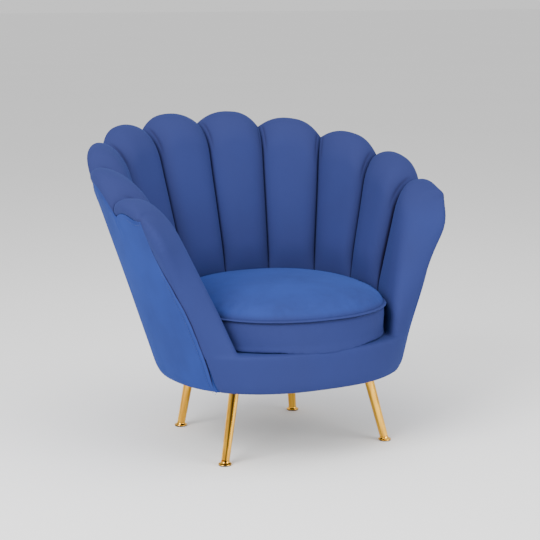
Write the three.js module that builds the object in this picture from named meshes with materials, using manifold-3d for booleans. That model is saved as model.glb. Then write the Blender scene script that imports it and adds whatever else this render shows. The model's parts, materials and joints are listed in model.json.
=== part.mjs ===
import * as THREE from "three";
import { mergeVertices } from "three/addons/utils/BufferGeometryUtils.js";
import Module from "manifold-3d";

const wasm = await Module();
wasm.setup();

// Armchair with a scalloped shell of upright padded channels, a loose seat cushion and four raked legs.
// Millimetres, +Z up, floor at zero, the sitter faces -Y. Shares run from 0 to 1.
// Lengths in Y are set out from the middle of the seat; the finished chair is then moved over its origin.

// Clearances and overruns
const clearance = 0.3;

// Main heights above the floor
const bodyBottom = 178;
const seatLevel = 272;
const crownHeight = 781;

// Outer skin of the shell in plan, at the underside and at crown height
const planCentreY = -10;
const frontReach = 268;
const footHalfWidth = 288;
const footRearReach = 290;
const headHalfWidth = 489;
const headRearReach = 468;
const footEdgeY = -176;
const headEdgeY = -166;
const footRearRoundness = 2.04;
const headRearRoundness = 2.06;
const footFrontRoundness = 2.4;
const headFrontRoundness = 4.75;

// Padding between the outer skin and the creases of the channels
const sideWall = 79;
const rearWall = 79;
const creaseRoundnessFoot = 2.9;
const creaseRoundnessHead = 2.6;
const armCreaseRoundness = 6;
const footWallShare = 0.68;
const wallGrowthTop = 380;

// Channels
const channelsPerSide = 5;
const channelPuff = 30;
const puffStart = 300;
const puffFull = 470;
const puffSquareness = 2.3;
const puffEdgeShare = 0.72;
const crownFall = 194;
const crownRoundness = 1.77;
const notchDepth = 36;
const scallopRoundness = 2.4;
const scallopPeakShare = 0.57;
const armEndDrop = 2;
const armEndSweep = 34;
const armSweepStart = 512;
const armSweepShare = 0.94;
const armSweepRoundness = 2;
const crestShare = 0.34;
const outerRoll = 34;
const armEndRoll = 6;
const innerRoll = 72;
const creaseGap = 0.4;

// Front end of each arm: the line that its rounded nose is drawn towards, measured from the arm's
// front edge at two heights
const noseLowLevel = 280;
const noseHighLevel = 560;
const noseInset = 103;
const noseForwardLow = 74;
const noseForwardHigh = -66;
const nosePullShare = 2;

// Layers behind the padding
const coverThickness = 6.3;
const boardThickness = 4;
const frameThickness = 18;
const uprightWidth = 42;
const armPostShare = 0.922;

// Bottom edge of the covers
const bottomRollHeight = 35;
const bottomRollReach = 9;
const bottomFlange = 18;

// Seat frame
const baseRailThickness = 16;
const baseRailWidth = 124;
const frontRailWidth = 62;
const baseRailLift = 6.4;
const seatRailThickness = 16;
const seatRailWidth = 46;
const springWire = 3.6;
const springPitch = 42;
const springSwing = 24;
const springSpacing = 92;
const springCount = 4;
const springBearing = 18;
const deckThickness = 13;
const blockSize = 50;

// Apron across the front
const apronThickness = 10;
const apronRoll = 9;
const apronLean = 3;
const apronFlange = 85;
const frontBoardThickness = 17;
const boardStep = 3.6;

// Loose cushion
const cushionGap = 4;
const cushionFrontInset = 1;
const cushionRoundness = 2.15;
const cushionSeamHeight = 345.5;
const cushionCrownHeight = 405;
const cushionBulge = 7;
const cushionBottomRound = 8;
const pipingRadius = 3.2;
const pipingGapShare = 0.0008;
const pipingTurn = (41 * Math.PI) / 180;
const cushionLift = 0.6;

// Legs: places under the seat as shares of the body's plan, and how far they splay outwards
const frontLegSideShare = 0.631;
const frontLegReachShare = 0.5;
const rearLegSideShare = 0.484;
const rearLegReachShare = 0.619;
const frontSplayShare = 0.227;
const frontForwardShare = 0.146;
const rearSplayShare = 0.139;
const rearBackwardShare = 0.127;
const legTopRadius = 12.25;
const legBottomRadius = 10;
const legWall = 1.5;
const discRadius = 16;
const discThickness = 2.6;
const discEdgeShare = 0.6;
const neckHeight = 11;
const neckFlare = 1;
const neckFlareHeight = 2;
const glideThickness = 2.2;
const glideInset = 1.6;
const plateSize = 54;
const plateThickness = 3;
const plateCorner = 8;
const dustCoverThickness = 1.4;
const dustCoverHole = 3;
const studRadius = 4;
const studLength = 46;
const studDepthInLeg = 14;
const studPlugTaper = 1;
const studClearance = 0.5;

// Facets
const bowShare = 0.02;
const facesPerChannel = 6;
const planSamples = 160;
const legFaces = 16;
const pipingFaces = 6;
const springFaces = 5;
const cushionPoints = 40;
const cushionPipingSteps = 56;
const armPipingSteps = 22;

const velvet = { color: 0x3a5f9f, roughness: 0.85, metalness: 0 };
const gold = { color: 0xd9ac60, roughness: 0.18, metalness: 1 };
const timber = { color: 0xb08b5c, roughness: 0.75, metalness: 0 };
const steel = { color: 0x9a9c9f, roughness: 0.4, metalness: 1 };
const lining = { color: 0x1d1d20, roughness: 0.95, metalness: 0 };
const nylon = { color: 0x202022, roughness: 0.6, metalness: 0 };

const chair = new THREE.Group();

function addPiece(name, geometry, finish) {
  const mesh = new THREE.Mesh(geometry, new THREE.MeshStandardMaterial(finish));
  mesh.name = name;
  chair.add(mesh);
}

function smooth(value, low, high) {
  return THREE.MathUtils.smoothstep(value, low, high);
}

// Closed solids from rings of points, all with the same number of points
function solidFromRings(rings, outline) {
  const size = rings[0].length;
  const points = rings.flat();
  const faces = [];
  for (let ring = 0; ring + 1 < rings.length; ring++) {
    for (let step = 0; step < size; step++) {
      const a = ring * size + step;
      const b = ring * size + ((step + 1) % size);
      faces.push(a, b, b + size, a, b + size, a + size);
    }
  }
  const caps = THREE.ShapeUtils.triangulateShape(outline, []);
  const last = (rings.length - 1) * size;
  const turned = THREE.ShapeUtils.isClockWise(outline);
  for (const [a, b, c] of caps) {
    const cap = turned ? [a, b, c] : [a, c, b];
    faces.push(...cap);
    faces.push(...cap.slice().reverse().map((corner) => last + corner));
  }
  return closedGeometry(points, faces);
}

function closedGeometry(points, faces) {
  let volume = 0;
  for (let step = 0; step < faces.length; step += 3) {
    const [a, b, c] = [points[faces[step]], points[faces[step + 1]], points[faces[step + 2]]];
    volume += a.dot(b.clone().cross(c));
  }
  const ordered = volume > 0 ? faces : faces.slice().reverse();
  const geometry = new THREE.BufferGeometry().setFromPoints(points);
  geometry.setIndex(ordered);
  geometry.computeVertexNormals();
  return geometry;
}

function circlePoints(middle, radius) {
  return Array.from({ length: legFaces }, (unused, step) => {
    const turn = (2 * Math.PI * step) / legFaces;
    return new THREE.Vector2(middle.x + radius * Math.cos(turn), middle.y + radius * Math.sin(turn));
  });
}

function flat(points) {
  return points.map((point) => new THREE.Vector2(point.x, point.y));
}

function toManifold(geometry) {
  const bare = geometry.clone();
  bare.deleteAttribute("normal");
  bare.deleteAttribute("uv");
  const merged = mergeVertices(bare);
  return new wasm.Manifold(new wasm.Mesh({
    numProp: 3,
    vertProperties: new Float32Array(merged.attributes.position.array),
    triVerts: new Uint32Array(merged.index.array),
  }));
}

function cutAway(geometry, cutters) {
  let body = toManifold(geometry);
  for (const cutter of cutters) {
    body = body.subtract(toManifold(cutter));
  }
  const mesh = body.getMesh();
  const result = new THREE.BufferGeometry();
  result.setAttribute("position", new THREE.BufferAttribute(new Float32Array(mesh.vertProperties), 3));
  result.setIndex(new THREE.BufferAttribute(new Uint32Array(mesh.triVerts), 1));
  result.computeVertexNormals();
  return result;
}

// Plan lines of the shell, walked from the back centre to the front end of the arm
function ovalPoint(halfWidth, reach, roundness, turn) {
  const across = Math.cos(turn);
  const along = Math.sin(turn);
  return new THREE.Vector2(
    halfWidth * Math.sign(across) * Math.abs(across) ** (2 / roundness),
    reach * Math.sign(along) * Math.abs(along) ** (2 / roundness),
  );
}

function tracePlan({ halfWidth, rearReach, rearRoundness, frontRoundness, edgeY }) {
  const points = [];
  for (let step = 0; step <= planSamples; step++) {
    const turn = (Math.PI / 2) * (1 - step / planSamples);
    points.push(ovalPoint(halfWidth, rearReach, rearRoundness, turn));
  }
  for (let step = 1; step <= planSamples; step++) {
    const point = ovalPoint(halfWidth, frontReach, frontRoundness, (-Math.PI / 2) * (step / planSamples));
    const before = points[points.length - 1];
    const edge = edgeY - planCentreY;
    if (point.y <= edge) {
      points.push(before.clone().lerp(point, (before.y - edge) / (before.y - point.y)));
      break;
    }
    points.push(point);
  }
  const lengths = [0];
  for (let step = 1; step < points.length; step++) {
    lengths.push(lengths[step - 1] + points[step].distanceTo(points[step - 1]));
  }
  return { points, lengths };
}

function alongPlan(plan, share) {
  const target = share * plan.lengths[plan.lengths.length - 1];
  let step = 1;
  while (step < plan.lengths.length - 1 && plan.lengths[step] < target) {
    step++;
  }
  const part = (target - plan.lengths[step - 1]) / (plan.lengths[step] - plan.lengths[step - 1]);
  return plan.points[step - 1].clone().lerp(plan.points[step], part);
}

const skinFoot = tracePlan({
  halfWidth: footHalfWidth,
  rearReach: footRearReach,
  rearRoundness: footRearRoundness,
  frontRoundness: footFrontRoundness,
  edgeY: footEdgeY,
});
const skinHead = tracePlan({
  halfWidth: headHalfWidth,
  rearReach: headRearReach,
  rearRoundness: headRearRoundness,
  frontRoundness: headFrontRoundness,
  edgeY: headEdgeY,
});
const creaseFoot = tracePlan({
  halfWidth: footHalfWidth - sideWall,
  rearReach: footRearReach - rearWall,
  rearRoundness: creaseRoundnessFoot,
  frontRoundness: armCreaseRoundness,
  edgeY: footEdgeY,
});
const creaseHead = tracePlan({
  halfWidth: headHalfWidth - sideWall,
  rearReach: headRearReach - rearWall,
  rearRoundness: creaseRoundnessHead,
  frontRoundness: armCreaseRoundness,
  edgeY: headEdgeY,
});

const frontEdgeFoot = alongPlan(skinFoot, 1);
const frontEdgeHead = alongPlan(skinHead, 1);

function heightShare(z) {
  return (z - bodyBottom) / (crownHeight - bodyBottom);
}

// How far back the front edge of the arm leans near its top
function armSweepAt(z) {
  const rise = Math.max(0, z - armSweepStart) / (crownHeight - crownFall - armSweepStart);
  return armEndSweep * rise ** armSweepRoundness;
}

// One upright line of the shell at a share from -1 to 1, with points at a depth behind its outer skin
function shellLine(share) {
  const side = share < 0 ? -1 : 1;
  const reach = Math.abs(share);
  const place = (plan) => {
    const point = alongPlan(plan, reach);
    return new THREE.Vector2(side * point.x, point.y + planCentreY);
  };
  const skin = [place(skinFoot), place(skinHead)];
  const crease = [place(creaseFoot), place(creaseHead)];
  const skinMiddle = skin[0].clone().lerp(skin[1], 1 / 2);
  const inward = crease[0].clone().lerp(crease[1], 1 / 2).sub(skinMiddle).normalize();
  const sweepShare = smooth(reach, armSweepShare, 1);
  return {
    at(depth, z) {
      const point = skin[0].clone().lerp(skin[1], heightShare(z)).addScaledVector(inward, depth);
      return new THREE.Vector3(point.x, point.y + sweepShare * armSweepAt(z), z);
    },
    wall(z) {
      const outer = skin[0].clone().lerp(skin[1], heightShare(z));
      return crease[0].clone().lerp(crease[1], heightShare(z)).sub(outer).dot(inward);
    },
  };
}

// Scalloped top line
function crownAt(share) {
  return crownHeight - crownFall * Math.abs(share) ** crownRoundness;
}

function channelShare(share) {
  const place = Math.abs(share) * channelsPerSide;
  return place - Math.min(Math.floor(place), channelsPerSide - 1);
}

function topAt(share, along) {
  const span = along < scallopPeakShare ? scallopPeakShare : 1 - scallopPeakShare;
  const drop = (Math.abs(along - scallopPeakShare) / span) ** scallopRoundness;
  const armFront = Math.abs(share) > 1 - (1 - scallopPeakShare) / channelsPerSide;
  return crownAt(share) - (armFront ? armEndDrop : notchDepth) * drop;
}

function seamDrop(channel, along) {
  return channel === channelsPerSide - 1
    ? THREE.MathUtils.lerp(outerRoll, armEndRoll, smooth(along, 1 / 2, 1))
    : outerRoll;
}

function seamAt(share, channel, along) {
  return topAt(share, along) - seamDrop(channel, along);
}

// Shares across one channel, closer together round the nose of the arm
const postEndShare = 0.84;
const armShares = [0, 1 / 6, 1 / 3, 1 / 2, 2 / 3, postEndShare, 0.92, 0.98];

function channelStations(channel) {
  if (channel === channelsPerSide - 1) {
    return armShares;
  }
  return Array.from({ length: facesPerChannel + 1 }, (unused, step) => step / facesPerChannel);
}

function shellStations(lastArmShare) {
  const right = [];
  for (let channel = 0; channel < channelsPerSide; channel++) {
    for (const along of channelStations(channel)) {
      const repeats = along === 1 && channel < channelsPerSide - 1;
      if (!repeats && (channel < channelsPerSide - 1 || along <= lastArmShare)) {
        right.push({ channel, along, share: (channel + along) / channelsPerSide });
      }
    }
  }
  const left = right.slice(1).reverse().map((stop) => ({ ...stop, share: -stop.share }));
  return [...left, ...right];
}

// Heights that all upright layers share, from the top of the bottom roll to the scalloped seam
const railFootShare = 0.9;
const layerShares = [0, 0.32, 0.62, 0.8, railFootShare, 1];
const layerRows = layerShares.length - 1;
const layerFoot = bodyBottom + bottomRollHeight;

function layerHeights({ share, channel, along }, first, last) {
  const top = seamAt(share, channel, along);
  return layerShares.slice(first, last + 1).map((row) => THREE.MathUtils.lerp(layerFoot, top, row));
}

function frameStations() {
  return shellStations(1).filter(({ channel, along }) => (
    channel === channelsPerSide - 1 || along === 0 || along === 1 / 2
  ));
}

const postDepth = coverThickness + boardThickness + 2 * clearance;
const paddingDepth = postDepth + frameThickness + clearance;

// Channel pads
function puffAt(along, z) {
  const across = Math.abs(2 * along - 1);
  return channelPuff * (1 - across ** puffSquareness) ** puffEdgeShare * smooth(z, puffStart, puffFull);
}

function wallShareAt(z) {
  return THREE.MathUtils.lerp(footWallShare, 1, smooth(z, seatLevel, wallGrowthTop));
}

function noseControl(z, side) {
  const rise = (z - noseLowLevel) / (noseHighLevel - noseLowLevel);
  const edge = frontEdgeFoot.clone().lerp(frontEdgeHead, heightShare(z));
  const forward = THREE.MathUtils.lerp(noseForwardLow, noseForwardHigh, rise);
  return new THREE.Vector3(side * (edge.x - noseInset), edge.y + planCentreY - forward, z);
}

function innerFace(channel, along, share, z) {
  const line = shellLine(share);
  if (channel < channelsPerSide - 1) {
    return line.at(line.wall(z) * wallShareAt(z) + puffAt(along, z), z);
  }
  const side = Math.sign(share);
  const creaseLine = shellLine(side * (channel / channelsPerSide));
  const start = creaseLine.at(creaseLine.wall(z) * wallShareAt(z), z);
  const end = shellLine(side).at(0, z);
  const control = noseControl(z, side);
  const weights = [(1 - along) ** 2, 2 * nosePullShare * along * (1 - along), along ** 2];
  const total = weights[0] + weights[1] + weights[2];
  return start.multiplyScalar(weights[0] / total)
    .addScaledVector(control, weights[1] / total)
    .addScaledVector(end, weights[2] / total);
}

const rollSteps = 3;
const faceRows = 6;

function padRing(channel, along, share) {
  const top = topAt(share, along);
  const seam = seamAt(share, channel, along) + 2 * clearance;
  const bottom = seatLevel + clearance;
  const line = shellLine(share);
  const armEnd = channel === channelsPerSide - 1 && along > postEndShare;
  const back = armEnd ? coverThickness + clearance : paddingDepth;
  const across = (depthShare, z) => line.at(0, z).lerp(innerFace(channel, along, share, z), depthShare);
  const ring = [line.at(back, bottom)];
  const outline = [[0, bottom]];
  for (const z of layerHeights({ share, channel, along }, 1, layerRows - 1)) {
    ring.push(line.at(back, z));
    outline.push([Math.sin((Math.PI * (z - bottom)) / (seam - bottom)) / 2, z]);
  }
  ring.push(line.at(back, seam), line.at(0, seam));
  outline.push([0, seam], [-1, seam]);
  for (let step = 1; step <= rollSteps; step++) {
    const turn = (Math.PI / 2) * (step / rollSteps);
    const z = THREE.MathUtils.lerp(seam, top, Math.sin(turn));
    const depthShare = crestShare * (1 - Math.cos(turn));
    ring.push(across(depthShare, z));
    outline.push([depthShare - 1, z]);
  }
  for (let step = 1; step <= rollSteps; step++) {
    const turn = (Math.PI / 2) * (step / rollSteps);
    const z = top - innerRoll * (1 - Math.cos(turn));
    const depthShare = THREE.MathUtils.lerp(crestShare, 1, Math.sin(turn));
    ring.push(across(depthShare, z));
    outline.push([depthShare * 2, z]);
  }
  for (let step = 1; step <= faceRows; step++) {
    const z = THREE.MathUtils.lerp(top - innerRoll, bottom, step / faceRows);
    ring.push(innerFace(channel, along, share, z));
    outline.push([2 + Math.sin(Math.PI * (step / faceRows)), z]);
  }
  return { ring, outline: outline.map(([x, y]) => new THREE.Vector2(x, y)) };
}

function channelPad(side, channel) {
  const creaseShare = creaseGap / 2 / skinFoot.lengths[skinFoot.lengths.length - 1];
  const stations = channelStations(channel);
  const rings = stations.map((along) => {
    const inset = along === 0 ? creaseShare : along === 1 ? -creaseShare : 0;
    return padRing(channel, along, side * ((channel + along) / channelsPerSide + inset));
  });
  const ordered = side < 0 ? rings.reverse() : rings;
  return solidFromRings(ordered.map((part) => part.ring), rings[0].outline);
}

function addChannelPads() {
  for (const [side, label] of [[-1, "left"], [1, "right"]]) {
    for (let channel = 0; channel < channelsPerSide; channel++) {
      addPiece(`channel_pad_${label}_${channel + 1}`, channelPad(side, channel), velvet);
    }
  }
}

// Pieces that follow the shell: a closed profile of depths and heights, carried round it
function shellSweep(stops, profileAt) {
  const profiles = stops.map((stop) => profileAt(stop));
  const rings = stops.map((stop, step) => {
    const line = shellLine(stop.share);
    return profiles[step].map(([depth, z]) => line.at(depth, z));
  });
  return solidFromRings(rings, bowed(profiles[0]));
}

// The outline of an end face, bowed a little so that no three points lie in line
function bowed(profile) {
  const heights = profile.map(([, z]) => z);
  const [low, high] = [Math.min(...heights), Math.max(...heights)];
  return profile.map(([depth, z]) => {
    const swell = Math.sin((Math.PI * (z - low)) / (high - low)) * bowShare * (high - low);
    return new THREE.Vector2(depth + swell, z);
  });
}

function bottomRollProfile(steps, depthOffset, liftOffset) {
  const profile = [];
  for (let step = 0; step <= steps; step++) {
    const turn = (Math.PI / 2) * (step / steps);
    profile.push([
      depthOffset + (bottomRollReach - liftOffset / 2) * (1 - Math.cos(turn)),
      bodyBottom + liftOffset + (bottomRollHeight - liftOffset) * (1 - Math.sin(turn)),
    ]);
  }
  return profile;
}

const bottomRollSteps = 3;

function outerCover() {
  return shellSweep(shellStations(1), (stop) => {
    const heights = layerHeights(stop, 1, layerRows);
    return [
      ...heights.slice().reverse().map((z) => [0, z]),
      ...bottomRollProfile(bottomRollSteps, 0, 0),
      [bottomRollReach + bottomFlange, bodyBottom],
      [bottomRollReach + bottomFlange, bodyBottom + coverThickness],
      ...bottomRollProfile(bottomRollSteps, coverThickness, coverThickness).reverse(),
      ...heights.map((z) => [coverThickness, z]),
    ];
  });
}

function shellBoard() {
  const near = coverThickness + clearance;
  return shellSweep(shellStations(postEndShare).reverse(), (stop) => {
    const heights = layerHeights(stop, 0, layerRows);
    return [
      ...heights.slice().reverse().map((z) => [near, z]),
      ...heights.map((z) => [near + boardThickness, z]),
    ];
  });
}

function topRail() {
  return shellSweep(shellStations(postEndShare), (stop) => {
    const [bottom, top] = layerHeights(stop, layerRows - 1, layerRows);
    const far = postDepth + frameThickness - clearance;
    return [[postDepth + clearance, top], [postDepth + clearance, bottom], [far, bottom], [far, top]];
  });
}

const baseTop = bodyBottom + baseRailLift + baseRailThickness;

function upright(share) {
  const halfShare = uprightWidth / 2 / skinHead.lengths[skinHead.lengths.length - 1];
  const bottom = baseTop + clearance;
  const stops = [share - halfShare, share, share + halfShare].map((edge) => {
    const place = Math.abs(edge) * channelsPerSide;
    const channel = Math.min(Math.floor(place), channelsPerSide - 1);
    return { share: edge, channel, along: place - channel };
  });
  const [top] = layerHeights(stops[1], layerRows - 1, layerRows - 1);
  return shellSweep(stops, (stop) => {
    const heights = [bottom, ...layerHeights(stop, 0, layerRows - 2), top - clearance];
    return [
      ...heights.slice().reverse().map((z) => [postDepth + 2 * clearance, z]),
      ...heights.map((z) => [postDepth + frameThickness - clearance, z]),
    ];
  });
}

function addUprights() {
  addPiece("back_stile_centre", upright(0), timber);
  for (const [side, label] of [[-1, "left"], [1, "right"]]) {
    addPiece(`back_stile_${label}`, upright((side * 2) / channelsPerSide), timber);
    addPiece(`side_stile_${label}`, upright((side * 4) / channelsPerSide), timber);
    addPiece(`arm_post_${label}`, upright(side * armPostShare), timber);
  }
}

// Front of the chair, from the right arm to the left arm, by a share from -1 to 1
const frontEndTurn = Math.asin((-frontEdgeFoot.y / frontReach) ** (footFrontRoundness / 2));

function frontLine(share) {
  const turn = THREE.MathUtils.lerp(Math.PI / 2, frontEndTurn, Math.abs(share));
  const side = share < 0 ? -1 : 1;
  const base = ovalPoint(footHalfWidth, frontReach, footFrontRoundness, -turn);
  const sideShare = base.x / frontEdgeFoot.x;
  const inward = new THREE.Vector2(
    -side * Math.sin((Math.PI / 2) * sideShare),
    Math.cos((Math.PI / 2) * sideShare),
  );
  return {
    at(depth, z) {
      const rise = heightShare(z);
      const x = base.x + sideShare * rise * (frontEdgeHead.x - frontEdgeFoot.x);
      const lean = (1 - sideShare) * apronLean * ((z - bodyBottom) / (seatLevel - bodyBottom));
      const y = base.y + planCentreY + sideShare * rise * (frontEdgeHead.y - frontEdgeFoot.y) + lean;
      return new THREE.Vector3(side * x + inward.x * depth, y + inward.y * depth, z);
    },
  };
}

const frontSteps = 14;
const frontEndShare = 0.975;

function frontShares(endShare) {
  return Array.from({ length: frontSteps + 1 }, (unused, step) => endShare * ((2 * step) / frontSteps - 1));
}

function frontSweep(endShare, profile) {
  const rings = frontShares(endShare).map((share) => {
    const line = frontLine(share);
    return profile.map(([depth, z]) => line.at(depth, z));
  });
  return solidFromRings(rings, bowed(profile));
}

function apronCover() {
  const roll = [];
  for (let step = 0; step <= 2; step++) {
    const turn = (Math.PI / 2) * (step / 2);
    roll.push([apronRoll * (1 - Math.cos(turn)), seatLevel - apronRoll * (1 - Math.sin(turn))]);
  }
  return frontSweep(frontEndShare, [
    ...roll.reverse(),
    ...bottomRollProfile(bottomRollSteps, 0, 0),
    [bottomRollReach + bottomFlange, bodyBottom],
    [bottomRollReach + bottomFlange, bodyBottom + coverThickness],
    ...bottomRollProfile(bottomRollSteps, apronThickness, coverThickness).reverse(),
    [apronThickness, seatLevel - apronThickness],
    [apronThickness + apronFlange, seatLevel - apronThickness],
    [apronThickness + apronFlange, seatLevel],
  ]);
}

function frontBoard() {
  const near = apronThickness + clearance;
  return frontSweep(frontEndShare, [
    [near + boardStep, baseTop + clearance],
    [near, layerFoot],
    [near, seatLevel - apronThickness - clearance],
    [near + frontBoardThickness, seatLevel - apronThickness - clearance],
    [near + frontBoardThickness, baseTop + clearance],
  ]);
}

// Seat frame, springs and deck
function legAt(label, side, sideShare, reach, sideRake, reachRake) {
  const rake = { x: -side * sideRake, y: -reachRake };
  const top = { x: side * sideShare * footHalfWidth, y: planCentreY + reach };
  return { label, rake, foot: { x: top.x - rake.x * bodyBottom, y: top.y - rake.y * bodyBottom } };
}

const legs = [[-1, "left"], [1, "right"]].flatMap(([side, label]) => [
  legAt(
    `front_${label}`, side, frontLegSideShare, -frontLegReachShare * frontReach, frontSplayShare, -frontForwardShare,
  ),
  legAt(
    `rear_${label}`, side, rearLegSideShare, rearLegReachShare * footRearReach, rearSplayShare, rearBackwardShare,
  ),
]);

function raked(geometry, leg) {
  const shear = new THREE.Matrix4().set(
    1, 0, leg.rake.x, leg.foot.x,
    0, 1, leg.rake.y, leg.foot.y,
    0, 0, 1, 0,
    0, 0, 0, 1,
  );
  return geometry.applyMatrix4(shear);
}

function lathed(profile) {
  const points = profile.map(([radius, z]) => new THREE.Vector2(radius, z));
  const geometry = new THREE.LatheGeometry(points, legFaces).rotateX(Math.PI / 2);
  geometry.deleteAttribute("normal");
  geometry.deleteAttribute("uv");
  return mergeVertices(geometry);
}

function studHole(leg) {
  const radius = studRadius + studClearance;
  const top = seatLevel;
  return raked(lathed([[0, bodyBottom], [radius, bodyBottom], [radius, top], [0, top]]), leg);
}

function underRail(near, width, thickness) {
  const foot = thickness + bottomRollReach - coverThickness / 2 + clearance;
  return [
    [foot, bodyBottom + baseRailLift],
    [near + width, bodyBottom + baseRailLift],
    [near + width, baseTop],
    [near, baseTop],
  ];
}

const blockTop = seatLevel - deckThickness - springWire - seatRailThickness - 2 * clearance;

function addSeatFrame() {
  const rail = shellSweep(frameStations(), () => underRail(postDepth, baseRailWidth, coverThickness));
  addPiece("base_rail_rear", cutAway(rail, legs.map(studHole)), timber);
  const front = frontSweep(frontEndShare, underRail(apronThickness + boardStep, frontRailWidth, apronThickness));
  addPiece("base_rail_front", front, timber);
  const near = paddingDepth;
  const top = blockTop + seatRailThickness;
  const profile = [[near, blockTop], [near, top], [near + seatRailWidth, top], [near + seatRailWidth, blockTop]];
  addPiece("seat_rail_rear", shellSweep(frameStations(), () => profile), timber);
  addPiece("seat_rail_front", frontSweep(frontEndShare, profile), timber);
}

function cornerBlock(leg) {
  const z = baseTop + clearance;
  const height = blockTop - z - clearance;
  const block = new THREE.BoxGeometry(blockSize, blockSize, height);
  const middle = z + height / 2;
  block.translate(leg.foot.x + leg.rake.x * middle, leg.foot.y + leg.rake.y * middle, middle);
  return cutAway(block, [studHole(leg)]);
}

function tubeAlong(points, radius, steps, sides) {
  const section = new THREE.Shape();
  for (let side = 0; side < sides; side++) {
    const turn = (2 * Math.PI * side) / sides;
    const [x, y] = [radius * Math.cos(turn), radius * Math.sin(turn)];
    if (side === 0) {
      section.moveTo(x, y);
    } else {
      section.lineTo(x, y);
    }
  }
  section.closePath();
  const extrudePath = new THREE.CatmullRomCurve3(points);
  return new THREE.ExtrudeGeometry(section, { steps, extrudePath, curveSegments: 1 });
}

function seatSpring(place) {
  const x = (place - (springCount - 1) / 2) * springSpacing;
  const z = blockTop + seatRailThickness + clearance + springWire / 2;
  const front = frontLine(0).at(paddingDepth + seatRailWidth - springBearing, z).y;
  const rear = shellLine(0).at(paddingDepth + seatRailWidth - springBearing, z).y
    - Math.abs(x) ** 2 / (2 * footRearReach);
  const bends = Math.floor((rear - front) / (springPitch / 2));
  const points = [];
  for (let bend = 0; bend <= bends; bend++) {
    const swing = bend === 0 || bend === bends ? 0 : bend % 2 === 0 ? 1 : -1;
    points.push(new THREE.Vector3(x + swing * springSwing, THREE.MathUtils.lerp(front, rear, bend / bends), z));
  }
  return tubeAlong(points, springWire / 2, bends * 2, springFaces);
}

function insidePlan(rearDepth, frontDepth, z) {
  const rear = frameStations().map((stop) => shellLine(stop.share).at(rearDepth, z));
  const front = frontShares(frontEndShare).reverse().map((share) => frontLine(share).at(frontDepth, z));
  return [...rear, ...front];
}

function seatDeck() {
  const bottom = seatLevel - deckThickness;
  const front = apronThickness + apronFlange + clearance;
  const rings = [bottom, seatLevel].map((z) => insidePlan(paddingDepth + clearance, front, z));
  return solidFromRings(rings, flat(rings[0]));
}

function dustCover() {
  const depth = bottomRollReach + bottomFlange + clearance;
  const z = bodyBottom + clearance;
  const outline = new THREE.Shape(flat(insidePlan(depth, depth, z)));
  for (const leg of legs) {
    const middle = { x: leg.foot.x + leg.rake.x * z, y: leg.foot.y + leg.rake.y * z };
    outline.holes.push(new THREE.Path(circlePoints(middle, legTopRadius + dustCoverHole)));
  }
  const options = { depth: dustCoverThickness, bevelEnabled: false };
  return new THREE.ExtrudeGeometry(outline, options).translate(0, 0, z);
}

// Loose cushion, small enough to pass the fullest part of the padding when it is lifted out
function narrowest(footReach, headReach, wallDepth) {
  const levels = [cushionSeamHeight, wallGrowthTop, puffFull];
  return Math.min(...levels.map((z) => (
    THREE.MathUtils.lerp(footReach, headReach, heightShare(z)) - wallDepth * wallShareAt(z) - puffAt(1 / 2, z)
  )));
}

const cushionInset = cushionGap + 2 * pipingRadius + clearance;
const cushionHalfWidth = narrowest(footHalfWidth, headHalfWidth, sideWall) - cushionInset;
const cushionRear = planCentreY + narrowest(footRearReach, headRearReach, rearWall) - cushionInset;
const cushionFront = planCentreY - frontReach + cushionFrontInset;
const cushionCentreY = (cushionFront + cushionRear) / 2;
const cushionHalfDepth = (cushionRear - cushionFront) / 2;

function cushionRing(inset, z) {
  return Array.from({ length: cushionPoints }, (unused, step) => {
    const turn = (2 * Math.PI * step) / cushionPoints;
    const point = ovalPoint(cushionHalfWidth - inset, cushionHalfDepth - inset, cushionRoundness, turn);
    return new THREE.Vector3(point.x, point.y + cushionCentreY, z);
  });
}

const cushionEdgeShares = [[1, 0], [0.3, 0.06]];
const cushionSideShares = [0.22, 0.5, 0.75];
const cushionCrownShares = [0.06, 0.16, 0.32, 0.52, 0.75];

function seatCushion() {
  const bottom = seatLevel + cushionLift;
  const seam = cushionSeamHeight;
  const side = seam - bottom;
  const rise = cushionCrownHeight - seam;
  const rings = cushionEdgeShares.map(([inset, lift]) => (
    cushionRing(inset * cushionBottomRound, bottom + lift * side)
  ));
  for (const lift of cushionSideShares) {
    rings.push(cushionRing(-cushionBulge * Math.sin(Math.PI * lift), bottom + lift * side));
  }
  rings.push(cushionRing(0, seam - 2 * pipingRadius));
  rings.push(cushionRing(0, seam + 2 * pipingRadius));
  for (const inset of cushionCrownShares) {
    const lift = (1 - (1 - inset) ** cushionRoundness) ** (1 / cushionRoundness);
    rings.push(cushionRing(inset * cushionHalfWidth, seam + 2 * pipingRadius + (rise - 2 * pipingRadius) * lift));
  }
  return solidFromRings(rings, flat(rings[0]));
}

function cushionPiping() {
  const offset = pipingRadius + clearance;
  const points = Array.from({ length: cushionPoints + 1 }, (unused, step) => {
    const place = THREE.MathUtils.lerp(pipingGapShare, 1 - pipingGapShare, step / cushionPoints);
    const turn = Math.PI / 2 + 2 * Math.PI * place;
    const halfWidth = cushionHalfWidth + offset;
    const halfDepth = cushionHalfDepth + offset;
    const point = ovalPoint(halfWidth, halfDepth, cushionRoundness, turn);
    return new THREE.Vector3(point.x, point.y + cushionCentreY, cushionSeamHeight);
  });
  return tubeAlong(points, pipingRadius, cushionPipingSteps, pipingFaces);
}

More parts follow.
